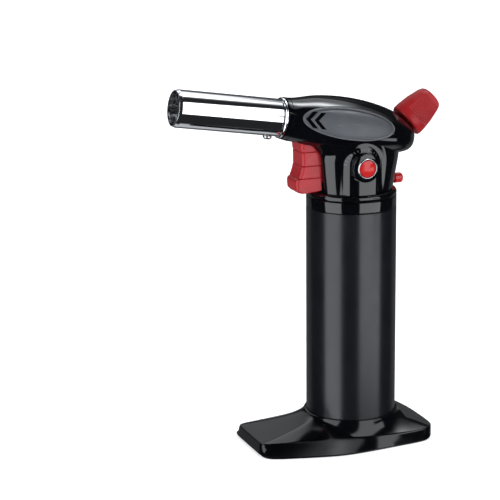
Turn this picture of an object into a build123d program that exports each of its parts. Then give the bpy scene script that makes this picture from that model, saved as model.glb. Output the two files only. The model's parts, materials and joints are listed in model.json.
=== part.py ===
from build123d import *
import os
from math import cos, pi, radians, sin

# Butane torch: a fuel tank that is also the handle, on a flat stand, with a burner head above it.
# Millimetres. +Z up, tank axis on Z, z = 0 is the face the stand rests on, burner towards -X.

# --- driving dimensions: tank and collar ---
TANK_R = 22.5
TANK_WALL = 1.4
TANK_FLOOR = 3.0
TANK_FLOOR_T = 2.0
TANK_TOP = 119.7
BAND_TOP = 125.4
RING_TOP = 128.9
PLUG_HUB_R = 17.0
PLUG_HUB_TOP = 126.0

# --- driving dimensions: stand ---
STAND_WALL_H = 6.5
STAND_FOOT_H = 1.2
STAND_FOOT_INSET = 1.0
STAND_COLLAR_H = 14.3
STAND_COLLAR_R = 23.7
STAND_REAR_X = 39.6
STAND_REAR_H = 4.4
STAND_REAR_SLOPE = 0.37
SOCKET_R = 22.55
COVER_T = 1.9
ACCESS_R = 8.0
STAND_SKIN = 2.4
PLAN_ROUNDING = 30
PLAN_POINTS = 144
RISE_LEVELS = 5
RISE_POWER = 1.9

# --- driving dimensions: head ---
BURNER_PITCH = 9.1
BURNER_Z = 160.3
HEAD_FRONT_U = -37.4
HEAD_REAR_U = 32.4
CROWN_U = -9.0
CROWN_V = -3.3
CROWN_H = 16.45
KEEL_V = -13.0
HEAD_HALF_L = 43.2
HEAD_HALF_W = 21.5
WIDEST_U = 3.0
FRONT_R = 9.7
WALL = 2.4
NECK_BOTTOM = 128.9
SPIGOT_BOTTOM = 121.4

# --- driving dimensions: burner ---
TUBE_R = 9.2
TUBE_WALL = 0.8
SPIGOT_R = 8.5
MOUTH_S = 93.5
SHOULDER_S = 39.3
MIXER_R = 4.0

# --- driving dimensions: controls ---
KNOB_TILT = 40.0
KNOB_X = 29.1
KNOB_Z = 159.2
KNOB_R = 9.0
KNOB_L = 19.2
DIAL_X = -2.5
DIAL_Z = 143.0
DIAL_R = 7.0
BUTTON_R = 4.1
PIN_Z = 131.3
PIN_R = 2.55
PIN_SHAFT_R = 1.8
TRIGGER_W = 14.0
FIT = 0.05
GAP = 0.3

os.makedirs("parts", exist_ok=True)


def save(name, part):
    part.label = name
    export_step(part, f"parts/{name}.step")


def head_plane(u):
    """Plane across the burner axis; u runs rearwards from the tank axis, local y is up."""
    tilt = radians(BURNER_PITCH)
    return Plane(
        origin=(u * cos(tilt), 0, BURNER_Z - u * sin(tilt)),
        x_dir=(0, 1, 0),
        z_dir=(cos(tilt), 0, -sin(tilt)),
    )


def burner_plane(s):
    """Plane across the burner axis, s ahead of the tank axis, facing the mouth."""
    back = head_plane(-s)
    return Plane(origin=back.origin, x_dir=(0, 1, 0), z_dir=-back.z_dir)


def knob_plane(along):
    """Plane across the knob axis, facing away from the head; local x is the world Y."""
    tilt = radians(KNOB_TILT)
    axis = Vector(cos(tilt), 0, sin(tilt))
    return Plane(origin=Vector(KNOB_X, 0, KNOB_Z) + axis * along, x_dir=(0, 1, 0), z_dir=axis)


def side_plane(y):
    """Plane across the world Y at y, facing -Y; local x is the world X and local y is up."""
    return Plane.XZ.offset(-y)


def turned(plane, profile):
    """Solid of revolution about the plane's normal: profile is (radius, distance along) pairs."""
    half = Plane(origin=plane.origin, x_dir=plane.x_dir, z_dir=plane.z_dir.cross(plane.x_dir) * -1)
    flip = 1 if half.y_dir.dot(plane.z_dir) > 0 else -1
    with BuildPart() as body:
        with BuildSketch(half):
            with BuildLine():
                Polyline([(r, h * flip) for r, h in profile], close=True)
            make_face()
        revolve(axis=Axis(plane.origin, plane.z_dir))
    return body.part


# --- outer forms shared by several pieces ---


def head_width(u):
    if u < WIDEST_U:
        share = (u - HEAD_FRONT_U) / (WIDEST_U - HEAD_FRONT_U)
        return FRONT_R + (HEAD_HALF_W - FRONT_R) * sin(pi / 2 * share)
    share = (u - WIDEST_U) / (HEAD_REAR_U + 0.3 - WIDEST_U)
    return HEAD_HALF_W * (1 - share**2.3) ** (1 / 2.3)


def head_section(u, inset):
    """Closed curve of the head across the burner axis: two half ellipses joined at the widest line."""
    share = (u - CROWN_U) / HEAD_HALF_L
    front = min(1.0, max(0.0, (u - HEAD_FRONT_U) / 18.0))
    ease = sin(pi / 2 * front)
    wide_v = CROWN_V * ease
    top = CROWN_V + CROWN_H * (1 - share**2) ** 0.5
    top = FRONT_R * (1 - ease) + top * ease
    keel = CROWN_V + (KEEL_V - CROWN_V) * (1 - abs(share) ** 3.6) ** (1 / 3.6)
    keel = -FRONT_R * (1 - ease) + keel * ease
    half_w = head_width(u) - inset
    points = []
    for step in range(24):
        angle = 2 * pi * step / 24
        height = (top - wide_v) if sin(angle) >= 0 else (wide_v - keel)
        points.append((half_w * cos(angle), wide_v + (height - inset) * sin(angle)))
    return points


def bullet(inset, first, last):
    """The head's bullet form, shrunk all round by inset."""
    count = 12
    stations = [first + (last - first) * (1 - cos(pi * i / count)) / 2 for i in range(count + 1)]
    with BuildPart() as body:
        for u in stations:
            with BuildSketch(head_plane(u)):
                with BuildLine():
                    Spline(head_section(u, inset), periodic=True)
                make_face()
        loft()
    return body.part


# Height, forward shift and half-widths along X and Y of the neck's ellipses.
NECK_LEVELS = (
    (NECK_BOTTOM, 0.0, 20.5, 20.5),
    (136.0, 0.4, 21.5, 20.6),
    (144.0, 0.8, 22.7, 20.8),
    (149.0, 0.4, 23.7, 21.0),
    (154.0, -1.5, 27.2, 21.2),
)


def neck(inset, low, high):
    """The flaring neck: ellipses from the collar up into the head, shrunk all round by inset."""
    heights = [low, *(level[0] for level in NECK_LEVELS[1:-1]), high]
    with BuildPart() as body:
        for z, (_, shift, half_x, half_y) in zip(heights, NECK_LEVELS):
            with BuildSketch(Plane((shift, 0, z))):
                Ellipse(half_x - inset, half_y - inset)
        loft()
    return body.part


# Sides of the stand's outline at its base and at the top of its wall: direction they face, distance.
STAND_BASE = ((180, 55.8), (104.8, 35.6), (83.1, 30.5), (27.9, 41.6), (0, 39.8))
STAND_RIM = ((180, 55.0), (99.9, 26.0), (81.4, 29.7), (29.0, 41.2), (0, 38.9))
STAND_FOOT = tuple((face, distance - STAND_FOOT_INSET) for face, distance in STAND_BASE)


def plan_radius(sides, angle):
    """Distance from the tank axis to the stand's edge: a polygon's sides, rounded where they meet."""
    total = 0
    for face, distance in sides:
        reach = cos(radians(face)) * cos(angle) + sin(radians(face)) * abs(sin(angle))
        if reach > 0:
            total += (reach / distance) ** PLAN_ROUNDING
    return total ** (-1 / PLAN_ROUNDING)


def stand_curve(sides, share=0.0):
    """Outline of the stand at a share of its rise: the edge at 0, the tank collar at 1."""
    points = []
    for step in range(PLAN_POINTS):
        angle = 2 * pi * (step + 0.5) / PLAN_POINTS
        edge = plan_radius(sides, angle)
        reach = STAND_COLLAR_R + (edge - STAND_COLLAR_R) * (1 - share) ** RISE_POWER
        points.append((reach * cos(angle), reach * sin(angle)))
    return points


def stand_layer(levels):
    """Solid lofted through (height, sides, share of the rise) levels."""
    with BuildPart() as body:
        for height, sides, share in levels:
            with BuildSketch(Plane.XY.offset(height)):
                with BuildLine():
                    Spline(stand_curve(sides, share), periodic=True)
                make_face()
        loft()
    return body.part


def stand_form():
    rise = []
    for level in range(RISE_LEVELS + 1):
        share = level / RISE_LEVELS
        height = STAND_WALL_H + (STAND_COLLAR_H - STAND_WALL_H) * share
        rise.append((height, STAND_RIM, min(share, 0.999)))
    rear_top = STAND_REAR_H + STAND_REAR_SLOPE * (STAND_REAR_X - STAND_COLLAR_R - 0.05)
    with BuildPart() as body:
        add(stand_layer([(0, STAND_FOOT, 0), (STAND_FOOT_H, STAND_BASE, 0)]))
        add(stand_layer([(STAND_FOOT_H, STAND_BASE, 0), (STAND_WALL_H, STAND_RIM, 0)]))
        add(stand_layer(rise))
        # Flat slope behind the collar.
        with BuildSketch(Plane.XZ):
            with BuildLine():
                Polyline(
                    (STAND_COLLAR_R + 0.05, rear_top),
                    (STAND_REAR_X + 4.0, STAND_REAR_H - 4.0 * STAND_REAR_SLOPE),
                    (STAND_REAR_X + 4.0, 20.0),
                    (STAND_COLLAR_R + 0.05, 20.0),
                    close=True,
                )
            make_face()
        extrude(amount=40, both=True, mode=Mode.SUBTRACT)
    return body.part


def plan_polygon(inset):
    """Straight-sided outline under the stand, set in from the sides of its rim."""
    corners = []
    for (face, distance), (other, reach) in zip(STAND_RIM, STAND_RIM[1:]):
        turn = sin(radians(other - face))
        first, second = distance - inset, reach - inset
        corners.append(
            (
                (first * sin(radians(other)) - second * sin(radians(face))) / turn,
                (second * cos(radians(face)) - first * cos(radians(other))) / turn,
            )
        )
    return corners + [(x, -y) for x, y in reversed(corners)]


COVER_SCREWS = [(-44.0, -10.0), (-44.0, 10.0), (32.0, -9.0), (32.0, 9.0)]

# --- stand: moulded shell, closed underneath by a plate ---

stand_solid = stand_form()
with BuildPart() as stand:
    add(stand_solid)
    with BuildSketch(Plane.XY.offset(TANK_FLOOR)):
        Circle(SOCKET_R)
    extrude(amount=STAND_COLLAR_H, mode=Mode.SUBTRACT)
    with BuildSketch(Plane.XY):
        Polygon(*plan_polygon(1.2), align=None)
    extrude(amount=COVER_T + 0.1, mode=Mode.SUBTRACT)
    with BuildSketch(Plane.XY.offset(COVER_T + 0.1)):
        Polygon(*plan_polygon(STAND_SKIN + 1.0), align=None)
        Circle(SOCKET_R + STAND_SKIN, mode=Mode.SUBTRACT)
        with Locations(*COVER_SCREWS):
            Circle(3.4, mode=Mode.SUBTRACT)
    extrude(amount=2.9, mode=Mode.SUBTRACT)
    with BuildSketch(Plane.XY):
        Circle(ACCESS_R + 2.0)
    extrude(amount=TANK_FLOOR, mode=Mode.SUBTRACT)
    with BuildSketch(Plane.XY):
        with Locations(*COVER_SCREWS):
            Circle(1.3)
    extrude(amount=5.6, mode=Mode.SUBTRACT)
save("stand", stand.part)

with BuildPart() as stand_cover:
    with BuildSketch(Plane.XY):
        Polygon(*plan_polygon(1.35), align=None)
        Circle(ACCESS_R, mode=Mode.SUBTRACT)
    extrude(amount=COVER_T)
    with Locations(Plane(origin=(0, 0, 0), x_dir=(1, 0, 0), z_dir=(0, 0, -1))):
        with Locations(*COVER_SCREWS):
            CounterSinkHole(radius=1.6, counter_sink_radius=2.7, depth=COVER_T)
save("stand_cover", stand_cover.part)

COVER_SCREW_PROFILE = [
    (0, 0.7),
    (0.9, 0.7),
    (0.9, 0.2),
    (2.5, 0.2),
    (1.25, 1.45),
    (1.25, 5.4),
    (0, 5.5),
]
with BuildPart() as stand_screws:
    for x, y in COVER_SCREWS:
        add(turned(Plane((x, y, 0)), COVER_SCREW_PROFILE))
save("stand_screws", stand_screws.part)

# --- fuel tank: drawn aluminium cup with a plug rolled into its top ---

with BuildPart() as tank_shell:
    with BuildSketch(Plane.XY.offset(TANK_FLOOR)):
        Circle(TANK_R)
    extrude(amount=TANK_TOP - TANK_FLOOR)
    chamfer(tank_shell.faces().sort_by(Axis.Z)[-1].edges(), length=0.3)
    chamfer(tank_shell.faces().sort_by(Axis.Z)[0].edges(), length=1.0)
    with BuildSketch(Plane.XY.offset(TANK_FLOOR + TANK_FLOOR_T)):
        Circle(TANK_R - TANK_WALL)
    extrude(amount=TANK_TOP, mode=Mode.SUBTRACT)
    with BuildSketch(Plane.XY):
        Circle(4.05)
    extrude(amount=10, mode=Mode.SUBTRACT)
save("tank_shell", tank_shell.part)

PLUG_R = TANK_R - TANK_WALL - FIT
PLUG_BOTTOM = 108.0
SEAL_Z = 113.0
SEAL_GROOVE_R = PLUG_R - 1.9

with BuildPart() as tank_plug:
    add(
        turned(
            Plane.XY,
            [
                (3.65, PLUG_BOTTOM),
                (PLUG_R, PLUG_BOTTOM),
                (PLUG_R, SEAL_Z - 1.2),
                (SEAL_GROOVE_R, SEAL_Z - 1.2),
                (SEAL_GROOVE_R, SEAL_Z + 1.2),
                (PLUG_R, SEAL_Z + 1.2),
                (PLUG_R, TANK_TOP),
                (PLUG_HUB_R, TANK_TOP),
                (PLUG_HUB_R, SPIGOT_BOTTOM + 0.2),
                (PLUG_HUB_R - 1.4, SPIGOT_BOTTOM + 0.2),
                (PLUG_HUB_R - 1.4, SPIGOT_BOTTOM + 2.0),
                (PLUG_HUB_R, SPIGOT_BOTTOM + 2.0),
                (PLUG_HUB_R, PLUG_HUB_TOP),
                (5.2, PLUG_HUB_TOP),
                (5.2, PLUG_HUB_TOP - 1.0),
                (3.65, PLUG_HUB_TOP - 1.0),
            ],
        )
    )
save("tank_plug", tank_plug.part)

with BuildPart() as tank_seal:
    with BuildSketch(Plane.XZ):
        with Locations((SEAL_GROOVE_R + 0.95, SEAL_Z)):
            Circle(0.92)
    revolve(axis=Axis.Z)
save("tank_seal", tank_seal.part)

with BuildPart() as collar_band:
    add(
        turned(
            Plane.XY,
            [
                (19.6, TANK_TOP + 0.15),
                (TANK_R - 0.3, TANK_TOP + 0.15),
                (TANK_R, TANK_TOP + 0.45),
                (TANK_R, BAND_TOP - 0.5),
                (TANK_R - 0.5, BAND_TOP),
                (19.6, BAND_TOP),
            ],
        )
    )
save("collar_band", collar_band.part)

with BuildPart() as collar_ring:
    with BuildSketch(Plane.XZ):
        with BuildLine():
            low = Line((19.6, BAND_TOP + 0.35), (TANK_R - 0.1, BAND_TOP + 0.35))
            side = Line(low @ 1, (TANK_R + 0.05, BAND_TOP + 1.6))
            crown = ThreePointArc(
                side @ 1, (TANK_R - 0.55, RING_TOP - 0.65), (TANK_R - 2.0, RING_TOP - 0.1)
            )
            Polyline(crown @ 1, (19.6, RING_TOP - 0.1), low @ 0)
        make_face()
    revolve(axis=Axis.Z)
save("collar_ring", collar_ring.part)

# --- filling valve in the tank's floor ---

FILL_MOUTH_Z = 2.2
FILL_PORT_R = 2.4
FILL_PORT_L = 4.2
FILL_STEM_R = 1.2
fill_seat_z = FILL_MOUTH_Z + FILL_PORT_L

with BuildPart() as fill_valve_body:
    add(
        turned(
            Plane.XY,
            [
                (FILL_PORT_R, FILL_MOUTH_Z),
                (4.0, FILL_MOUTH_Z),
                (4.0, TANK_FLOOR + TANK_FLOOR_T + FIT),
                (6.0, TANK_FLOOR + TANK_FLOOR_T + FIT),
                (6.0, TANK_FLOOR + TANK_FLOOR_T + 1.6),
                (3.8, TANK_FLOOR + TANK_FLOOR_T + 1.6),
                (3.8, 17.0),
                (1.0, 17.0),
                (1.0, 15.8),
                (2.7, 15.8),
                (2.7, fill_seat_z + 1.4),
                (FILL_STEM_R + FIT, fill_seat_z + 1.4),
                (FILL_STEM_R + FIT, fill_seat_z),
                (FILL_PORT_R, fill_seat_z),
            ],
        )
    )
save("fill_valve_body", fill_valve_body.part)

fill_flange_z = fill_seat_z + 2.3

with BuildPart() as fill_valve_stem:
    add(
        turned(
            Plane.XY,
            [
                (0, fill_seat_z + 0.1),
                (FILL_STEM_R, fill_seat_z + 0.1),
                (FILL_STEM_R, fill_flange_z),
                (2.4, fill_flange_z),
                (2.4, fill_flange_z + 0.8),
                (0.9, fill_flange_z + 0.8),
                (0.9, fill_flange_z + 3.6),
                (0, fill_flange_z + 3.6),
            ],
        )
    )
save("fill_valve_stem", fill_valve_stem.part)

with BuildPart() as fill_valve_seal:
    with BuildSketch(Plane.XZ):
        with Locations((FILL_STEM_R + 0.43, fill_flange_z - 0.42)):
            Circle(0.4)
    revolve(axis=Axis.Z)
save("fill_valve_seal", fill_valve_seal.part)


def spring_sleeve(plane, radius, length, wire=0.3):
    """Space a coil spring fills, as a thin tube of its mean radius."""
    return turned(
        plane,
        [(radius - wire, 0), (radius + wire, 0), (radius + wire, length), (radius - wire, length)],
    )


with BuildPart() as fill_valve_spring:
    add(spring_sleeve(Plane.XY.offset(fill_flange_z + 0.85), 1.7, 15.75 - fill_flange_z - 0.85))
save("fill_valve_spring", fill_valve_spring.part)

# --- outlet valve in the tank's plug ---

VALVE_TOP = 129.4
BARB_Z = 128.0
STEM_R = 1.6
STEM_FLANGE_Z = 132.55

with BuildPart() as outlet_valve_body:
    add(
        turned(
            Plane.XY,
            [
                (0.8, 104.0),
                (1.45, 104.0),
                (1.45, 107.4),
                (3.6, 107.4),
                (3.6, PLUG_HUB_TOP - 0.95),
                (5.0, PLUG_HUB_TOP - 0.95),
                (5.0, VALVE_TOP),
                (STEM_R + FIT, VALVE_TOP),
                (STEM_R + FIT, 121.0),
                (2.7, 121.0),
                (2.7, 108.6),
                (0.8, 108.6),
            ],
        )
    )
    with BuildSketch(side_plane(4.5)):
        with Locations((0, BARB_Z)):
            Circle(1.2)
    extrude(amount=-4.4)
    with BuildSketch(side_plane(STEM_R + 0.5)):
        with Locations((0, BARB_Z)):
            Circle(0.6)
    extrude(amount=-9.0, mode=Mode.SUBTRACT)
save("outlet_valve_body", outlet_valve_body.part)

with BuildPart() as outlet_valve_stem:
    add(
        turned(
            Plane.XY,
            [
                (0, 109.7),
                (2.3, 109.7),
                (2.3, 111.5),
                (STEM_R, 111.5),
                (STEM_R, STEM_FLANGE_Z),
                (3.6, STEM_FLANGE_Z),
                (3.6, STEM_FLANGE_Z + 0.95),
                (STEM_R, STEM_FLANGE_Z + 0.95),
                (STEM_R, STEM_FLANGE_Z + 1.4),
                (0, STEM_FLANGE_Z + 1.4),
            ],
        )
    )
save("outlet_valve_stem", outlet_valve_stem.part)

with BuildPart() as outlet_valve_seal:
    with BuildSketch(Plane.XY.offset(108.65)):
        Circle(2.2)
    extrude(amount=1.0)
save("outlet_valve_seal", outlet_valve_seal.part)

with BuildPart() as outlet_valve_spring:
    add(spring_sleeve(Plane.XY.offset(111.55), 2.2, 9.4, 0.25))
save("outlet_valve_spring", outlet_valve_spring.part)

with BuildPart() as dip_tube:
    with BuildSketch(Plane.XY.offset(22.0)):
        Circle(2.1)
        Circle(1.5, mode=Mode.SUBTRACT)
    extrude(amount=107.35 - 22.0)
save("dip_tube", dip_tube.part)

# --- head: one hollow form, split into two halves at Y = 0 ---

CASE_SCREWS = ((-22.0, 171.1), (2.0, 167.3), (16.5, 138.5), (-4.0, 153.2))
SCREW_BOSS_REACH = (9.0, 9.0, 9.0, 19.0)
INLAY_U = -8.3
INLAY_V = 2.3
INLAY_A = 23.2
INLAY_B = 7.5
RECESS = 1.15
OPENING_HALF_W = TRIGGER_W / 2 + 0.4

outer_bullet = bullet(0, HEAD_FRONT_U, HEAD_REAR_U)
inner_bullet = bullet(WALL, -27.0, HEAD_REAR_U - WALL)
recess_core = bullet(RECESS, HEAD_FRONT_U + 0.5, HEAD_REAR_U - RECESS)
inlay_skin = bullet(0.3, HEAD_FRONT_U + 0.5, HEAD_REAR_U - 0.3)
outer_neck = neck(0, NECK_BOTTOM, 156.0)
inner_neck = neck(2.2, NECK_BOTTOM - 2.0, 155.0)


def arch_profile(half_width, top, bottom):
    """Round-topped panel outline about the dial's upright centre line."""
    with BuildSketch(mode=Mode.PRIVATE) as outline:
        with BuildLine():
            left = Line((DIAL_X - half_width, bottom), (DIAL_X - half_width, top - half_width))
            crown = ThreePointArc(left @ 1, (DIAL_X, top), (DIAL_X + half_width, top - half_width))
            Polyline(crown @ 1, (DIAL_X + half_width, bottom), left @ 0)
        make_face()
    return outline.sketch


def inlay_prism(grow):
    """Oval bar through the head's side, its long axis parallel to the burner."""
    tilt = radians(BURNER_PITCH)
    x = INLAY_U * cos(tilt) + INLAY_V * sin(tilt)
    z = BURNER_Z - INLAY_U * sin(tilt) + INLAY_V * cos(tilt)
    with BuildPart() as bar:
        with BuildSketch(Plane.XZ):
            with Locations(Location((x, z, 0), (0, 0, -BURNER_PITCH))):
                Ellipse(INLAY_A + grow, INLAY_B + grow)
        extrude(amount=40, both=True)
    return bar.part


with BuildPart() as arch_boss:
    with BuildSketch(Plane.XZ):
        add(arch_profile(11.0, 153.3, NECK_BOTTOM))
    extrude(amount=30, both=True)
    with BuildSketch(Plane.XY.offset(NECK_BOTTOM), mode=Mode.PRIVATE) as boss_round:
        Circle(21.7)
    extrude(boss_round.sketch, amount=40, mode=Mode.INTERSECT)
    with BuildSketch(Plane.XY.offset(NECK_BOTTOM)):
        Rectangle(60, 24)
    extrude(amount=40, mode=Mode.SUBTRACT)

recess_tool = inlay_prism(0.15) - recess_core

with BuildPart() as head_case:
    add(outer_bullet)
    add(outer_neck)
    add(arch_boss.part)
    with BuildSketch(Plane.XY.offset(SPIGOT_BOTTOM + 2.2)):
        Circle(19.5)
    extrude(amount=NECK_BOTTOM - SPIGOT_BOTTOM - 2.0)
    add(inner_bullet, mode=Mode.SUBTRACT)
    add(inner_neck, mode=Mode.SUBTRACT)
    # Ledge the knob turns on.
    with BuildSketch(knob_plane(-0.3)):
        Rectangle(80, 60)
    extrude(amount=40, mode=Mode.SUBTRACT)
    # Wall that closes the rear under the knob.
    with BuildSketch(knob_plane(-0.3)):
        Circle(6.0)
    extrude(amount=-WALL)
    with BuildSketch(knob_plane(1.0)):
        Circle(3.0)
    extrude(amount=-12, mode=Mode.SUBTRACT)
    # Bosses for the case screws.
    for (x, z), reach in zip(CASE_SCREWS, SCREW_BOSS_REACH):
        with BuildSketch(Plane.XZ):
            with Locations((x, z)):
                Circle(2.5)
        extrude(amount=reach, both=True)
    # Socket for the burner tube.
    with BuildSketch(burner_plane(26.0)):
        Circle(SPIGOT_R + FIT)
    extrude(amount=20, mode=Mode.SUBTRACT)
    # Groove round the plug's hub, and the lip that snaps into it.
    with BuildSketch(Plane.XY.offset(SPIGOT_BOTTOM)):
        Circle(PLUG_HUB_R + 0.1)
    extrude(amount=PLUG_HUB_TOP - SPIGOT_BOTTOM + 2.5, mode=Mode.SUBTRACT)
    with BuildSketch(Plane.XY.offset(SPIGOT_BOTTOM + 0.4)):
        Circle(19.5)
        Circle(PLUG_HUB_R + 0.1, mode=Mode.SUBTRACT)
    extrude(amount=1.9)
    with BuildSketch(Plane.XY.offset(SPIGOT_BOTTOM + 0.4)):
        Circle(PLUG_HUB_R + 0.2)
        Circle(PLUG_HUB_R - 1.3, mode=Mode.SUBTRACT)
    extrude(amount=1.4)
    # Mouth the trigger moves in.
    with BuildSketch(Plane.XY.offset(129.05)):
        with Locations((-26.0, 0)):
            Rectangle(30, 2 * OPENING_HALF_W)
    extrude(amount=155.1 - 129.05, mode=Mode.SUBTRACT)
    # Seat and bearing hole for the dial, on the right side only.
    with BuildSketch(side_plane(-20.0)):
        with Locations((DIAL_X, DIAL_Z)):
            Circle(DIAL_R + GAP)
    extrude(amount=10, mode=Mode.SUBTRACT)
    with BuildSketch(side_plane(-10.0)):
        with Locations((DIAL_X, DIAL_Z)):
            Circle(5.5 + FIT)
    extrude(amount=12, mode=Mode.SUBTRACT)
    # Hole for the safety pin.
    with BuildSketch(Plane.YZ.offset(10.0)):
        with Locations((0, PIN_Z)):
            Circle(PIN_SHAFT_R + FIT)
    extrude(amount=20, mode=Mode.SUBTRACT)
    add(recess_tool, mode=Mode.SUBTRACT)

screw_seat_y = 4.8

with BuildPart() as head_right:
    add(head_case.part)
    split(bisect_by=Plane.XZ, keep=Keep.TOP)
    with BuildSketch(side_plane(0)):
        with Locations(*CASE_SCREWS):
            Circle(1.25)
    extrude(amount=8.5, mode=Mode.SUBTRACT)
save("head_right", head_right.part)

with BuildPart() as head_left:
    add(head_case.part)
    split(bisect_by=Plane.XZ, keep=Keep.BOTTOM)
    with BuildSketch(side_plane(0)):
        with Locations(*CASE_SCREWS):
            Circle(1.3)
    extrude(amount=-30, mode=Mode.SUBTRACT)
    with BuildSketch(side_plane(screw_seat_y)):
        with Locations(*CASE_SCREWS):
            Circle(2.35)
    extrude(amount=-30, mode=Mode.SUBTRACT)
save("head_left", head_left.part)

SCREW_HEAD_H = 1.6
with BuildPart() as case_screws:
    for x, z in CASE_SCREWS:
        add(
            turned(
                Plane(origin=(x, 0, z), x_dir=(1, 0, 0), z_dir=(0, 1, 0)),
                [
                    (0, -8.0),
                    (1.2, -7.0),
                    (1.2, screw_seat_y + FIT),
                    (2.25, screw_seat_y + FIT),
                    (2.25, screw_seat_y + SCREW_HEAD_H),
                    (0.7, screw_seat_y + SCREW_HEAD_H),
                    (0.7, screw_seat_y + SCREW_HEAD_H - 0.8),
                    (0, screw_seat_y + SCREW_HEAD_H - 0.8),
                ],
            )
        )
save("case_screws", case_screws.part)

# --- oval inlays with two arrow slots, one on each side of the head ---

CHEVRON_H = 7.6
CHEVRON_LEAN = 4.2
CHEVRON_T = 2.3
CHEVRON_U = (-29.3, -25.4)


def chevron(u):
    """Arrow outline pointing at the burner, its tip at u along the burner axis."""
    tilt = radians(BURNER_PITCH)
    corners = [
        (0, 0),
        (CHEVRON_LEAN, CHEVRON_H / 2),
        (CHEVRON_LEAN + CHEVRON_T, CHEVRON_H / 2),
        (CHEVRON_T, 0),
        (CHEVRON_LEAN + CHEVRON_T, -CHEVRON_H / 2),
        (CHEVRON_LEAN, -CHEVRON_H / 2),
    ]
    return [
        (
            (u + a) * cos(tilt) + (INLAY_V + b) * sin(tilt),
            BURNER_Z - (u + a) * sin(tilt) + (INLAY_V + b) * cos(tilt),
        )
        for a, b in corners
    ]


inlay_back = bullet(RECESS - 0.05, HEAD_FRONT_U + 0.5, HEAD_REAR_U - RECESS + 0.05)

with BuildPart() as inlay_right:
    add((inlay_skin & inlay_prism(0)) - inlay_back)
    split(bisect_by=Plane.XZ, keep=Keep.TOP)
    for u in CHEVRON_U:
        with BuildSketch(Plane.XZ):
            Polygon(*chevron(u), align=None)
        extrude(amount=40, mode=Mode.SUBTRACT)
save("inlay_right", inlay_right.part)

with BuildPart() as inlay_left:
    mirror(inlay_right.part, about=Plane.XZ)
save("inlay_left", inlay_left.part)

# --- burner ---

SCREW_S = 43.6
screw_plane = Plane(origin=burner_plane(SCREW_S).origin, x_dir=(0, 1, 0), z_dir=-head_plane(0).y_dir)

with BuildPart() as burner_tube:
    add(
        turned(
            burner_plane(0),
            [
                (SPIGOT_R - 0.9, 28.0),
                (SPIGOT_R, 28.0),
                (SPIGOT_R, SHOULDER_S),
                (TUBE_R, SHOULDER_S),
                (TUBE_R, MOUTH_S - 1.6),
                (TUBE_R - 0.55, MOUTH_S),
                (TUBE_R - 1.0, MOUTH_S),
                (TUBE_R - TUBE_WALL, MOUTH_S - 1.4),
                (TUBE_R - TUBE_WALL, SHOULDER_S + 1.2),
                (SPIGOT_R - 0.9, SHOULDER_S),
            ],
        )
    )
    with BuildSketch(screw_plane):
        Circle(1.3)
    extrude(amount=12, mode=Mode.SUBTRACT)
save("burner_tube", burner_tube.part)

RING_S = -HEAD_FRONT_U + 0.1
with BuildPart() as burner_ring:
    add(
        turned(
            burner_plane(0),
            [
                (SPIGOT_R + FIT, RING_S),
                (TUBE_R + 0.3, RING_S),
                (TUBE_R + 0.55, RING_S + 0.4),
                (TUBE_R + 0.55, SHOULDER_S - 0.5),
                (TUBE_R + 0.3, SHOULDER_S - 0.05),
                (SPIGOT_R + FIT, SHOULDER_S - 0.05),
            ],
        )
    )
save("burner_ring", burner_ring.part)

with BuildPart() as burner_screw:
    add(
        turned(
            screw_plane,
            [
                (0, 5.4),
                (1.2, 5.4),
                (1.2, TUBE_R + 0.1),
                (2.2, TUBE_R + 0.1),
                (2.2, TUBE_R + 0.9),
                (1.5, TUBE_R + 1.7),
                (0, TUBE_R + 1.8),
            ],
        )
    )
    with BuildSketch(screw_plane.offset(TUBE_R + 1.1)):
        Rectangle(6, 0.6)
    extrude(amount=2, mode=Mode.SUBTRACT)
save("burner_screw", burner_screw.part)

ELECTRODE_Y = -6.0
SPIDER_S = 40.6

with BuildPart() as mixer_spider:
    with BuildSketch(burner_plane(SPIDER_S)):
        Circle(TUBE_R - TUBE_WALL - FIT)
        Circle(MIXER_R + FIT, mode=Mode.SUBTRACT)
        with PolarLocations(6.1, 6):
            Circle(1.5, mode=Mode.SUBTRACT)
    extrude(amount=6.0)
    with BuildSketch(screw_plane):
        Circle(1.25)
    extrude(amount=12, mode=Mode.SUBTRACT)
save("mixer_spider", mixer_spider.part)

HOLDER_S = 80.0
with BuildPart() as mixing_tube:
    with BuildSketch(burner_plane(8.0)):
        Circle(MIXER_R)
        Circle(MIXER_R - 0.7, mode=Mode.SUBTRACT)
    extrude(amount=HOLDER_S + 1.4 - 8.0)
    axis_dir = burner_plane(0).z_dir
    for turn in (0, 90):
        across = Vector(0, 1, 0).rotate(Axis((0, 0, 0), axis_dir), turn)
        with BuildSketch(Plane(origin=burner_plane(13.0).origin, x_dir=axis_dir, z_dir=across)):
            SlotOverall(6.0, 2.4)
        extrude(amount=10, both=True, mode=Mode.SUBTRACT)
save("mixing_tube", mixing_tube.part)

with BuildPart() as flame_holder:
    with BuildSketch(burner_plane(HOLDER_S)):
        Circle(TUBE_R - TUBE_WALL - FIT)
    extrude(amount=3.4)
    with BuildSketch(burner_plane(HOLDER_S)):
        Circle(MIXER_R + FIT)
    extrude(amount=1.5, mode=Mode.SUBTRACT)
    with BuildSketch(burner_plane(HOLDER_S)):
        Circle(2.2)
        with PolarLocations(6.0, 8):
            Circle(1.2)
        with PolarLocations(3.4, 8, start_angle=22.5):
            Circle(0.5)
    extrude(amount=4, mode=Mode.SUBTRACT)
save("flame_holder", flame_holder.part)

with BuildPart() as gas_jet:
    add(
        turned(
            burner_plane(0),
            [
                (0.25, -4.0),
                (2.0, -4.0),
                (2.0, -0.9),
                (3.2, -0.9),
                (3.2, 4.5),
                (1.6, 8.8),
                (0.25, 8.8),
            ],
        )
    )
save("gas_jet", gas_jet.part)

# --- regulator: block, needle spindle and knob ---

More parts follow.
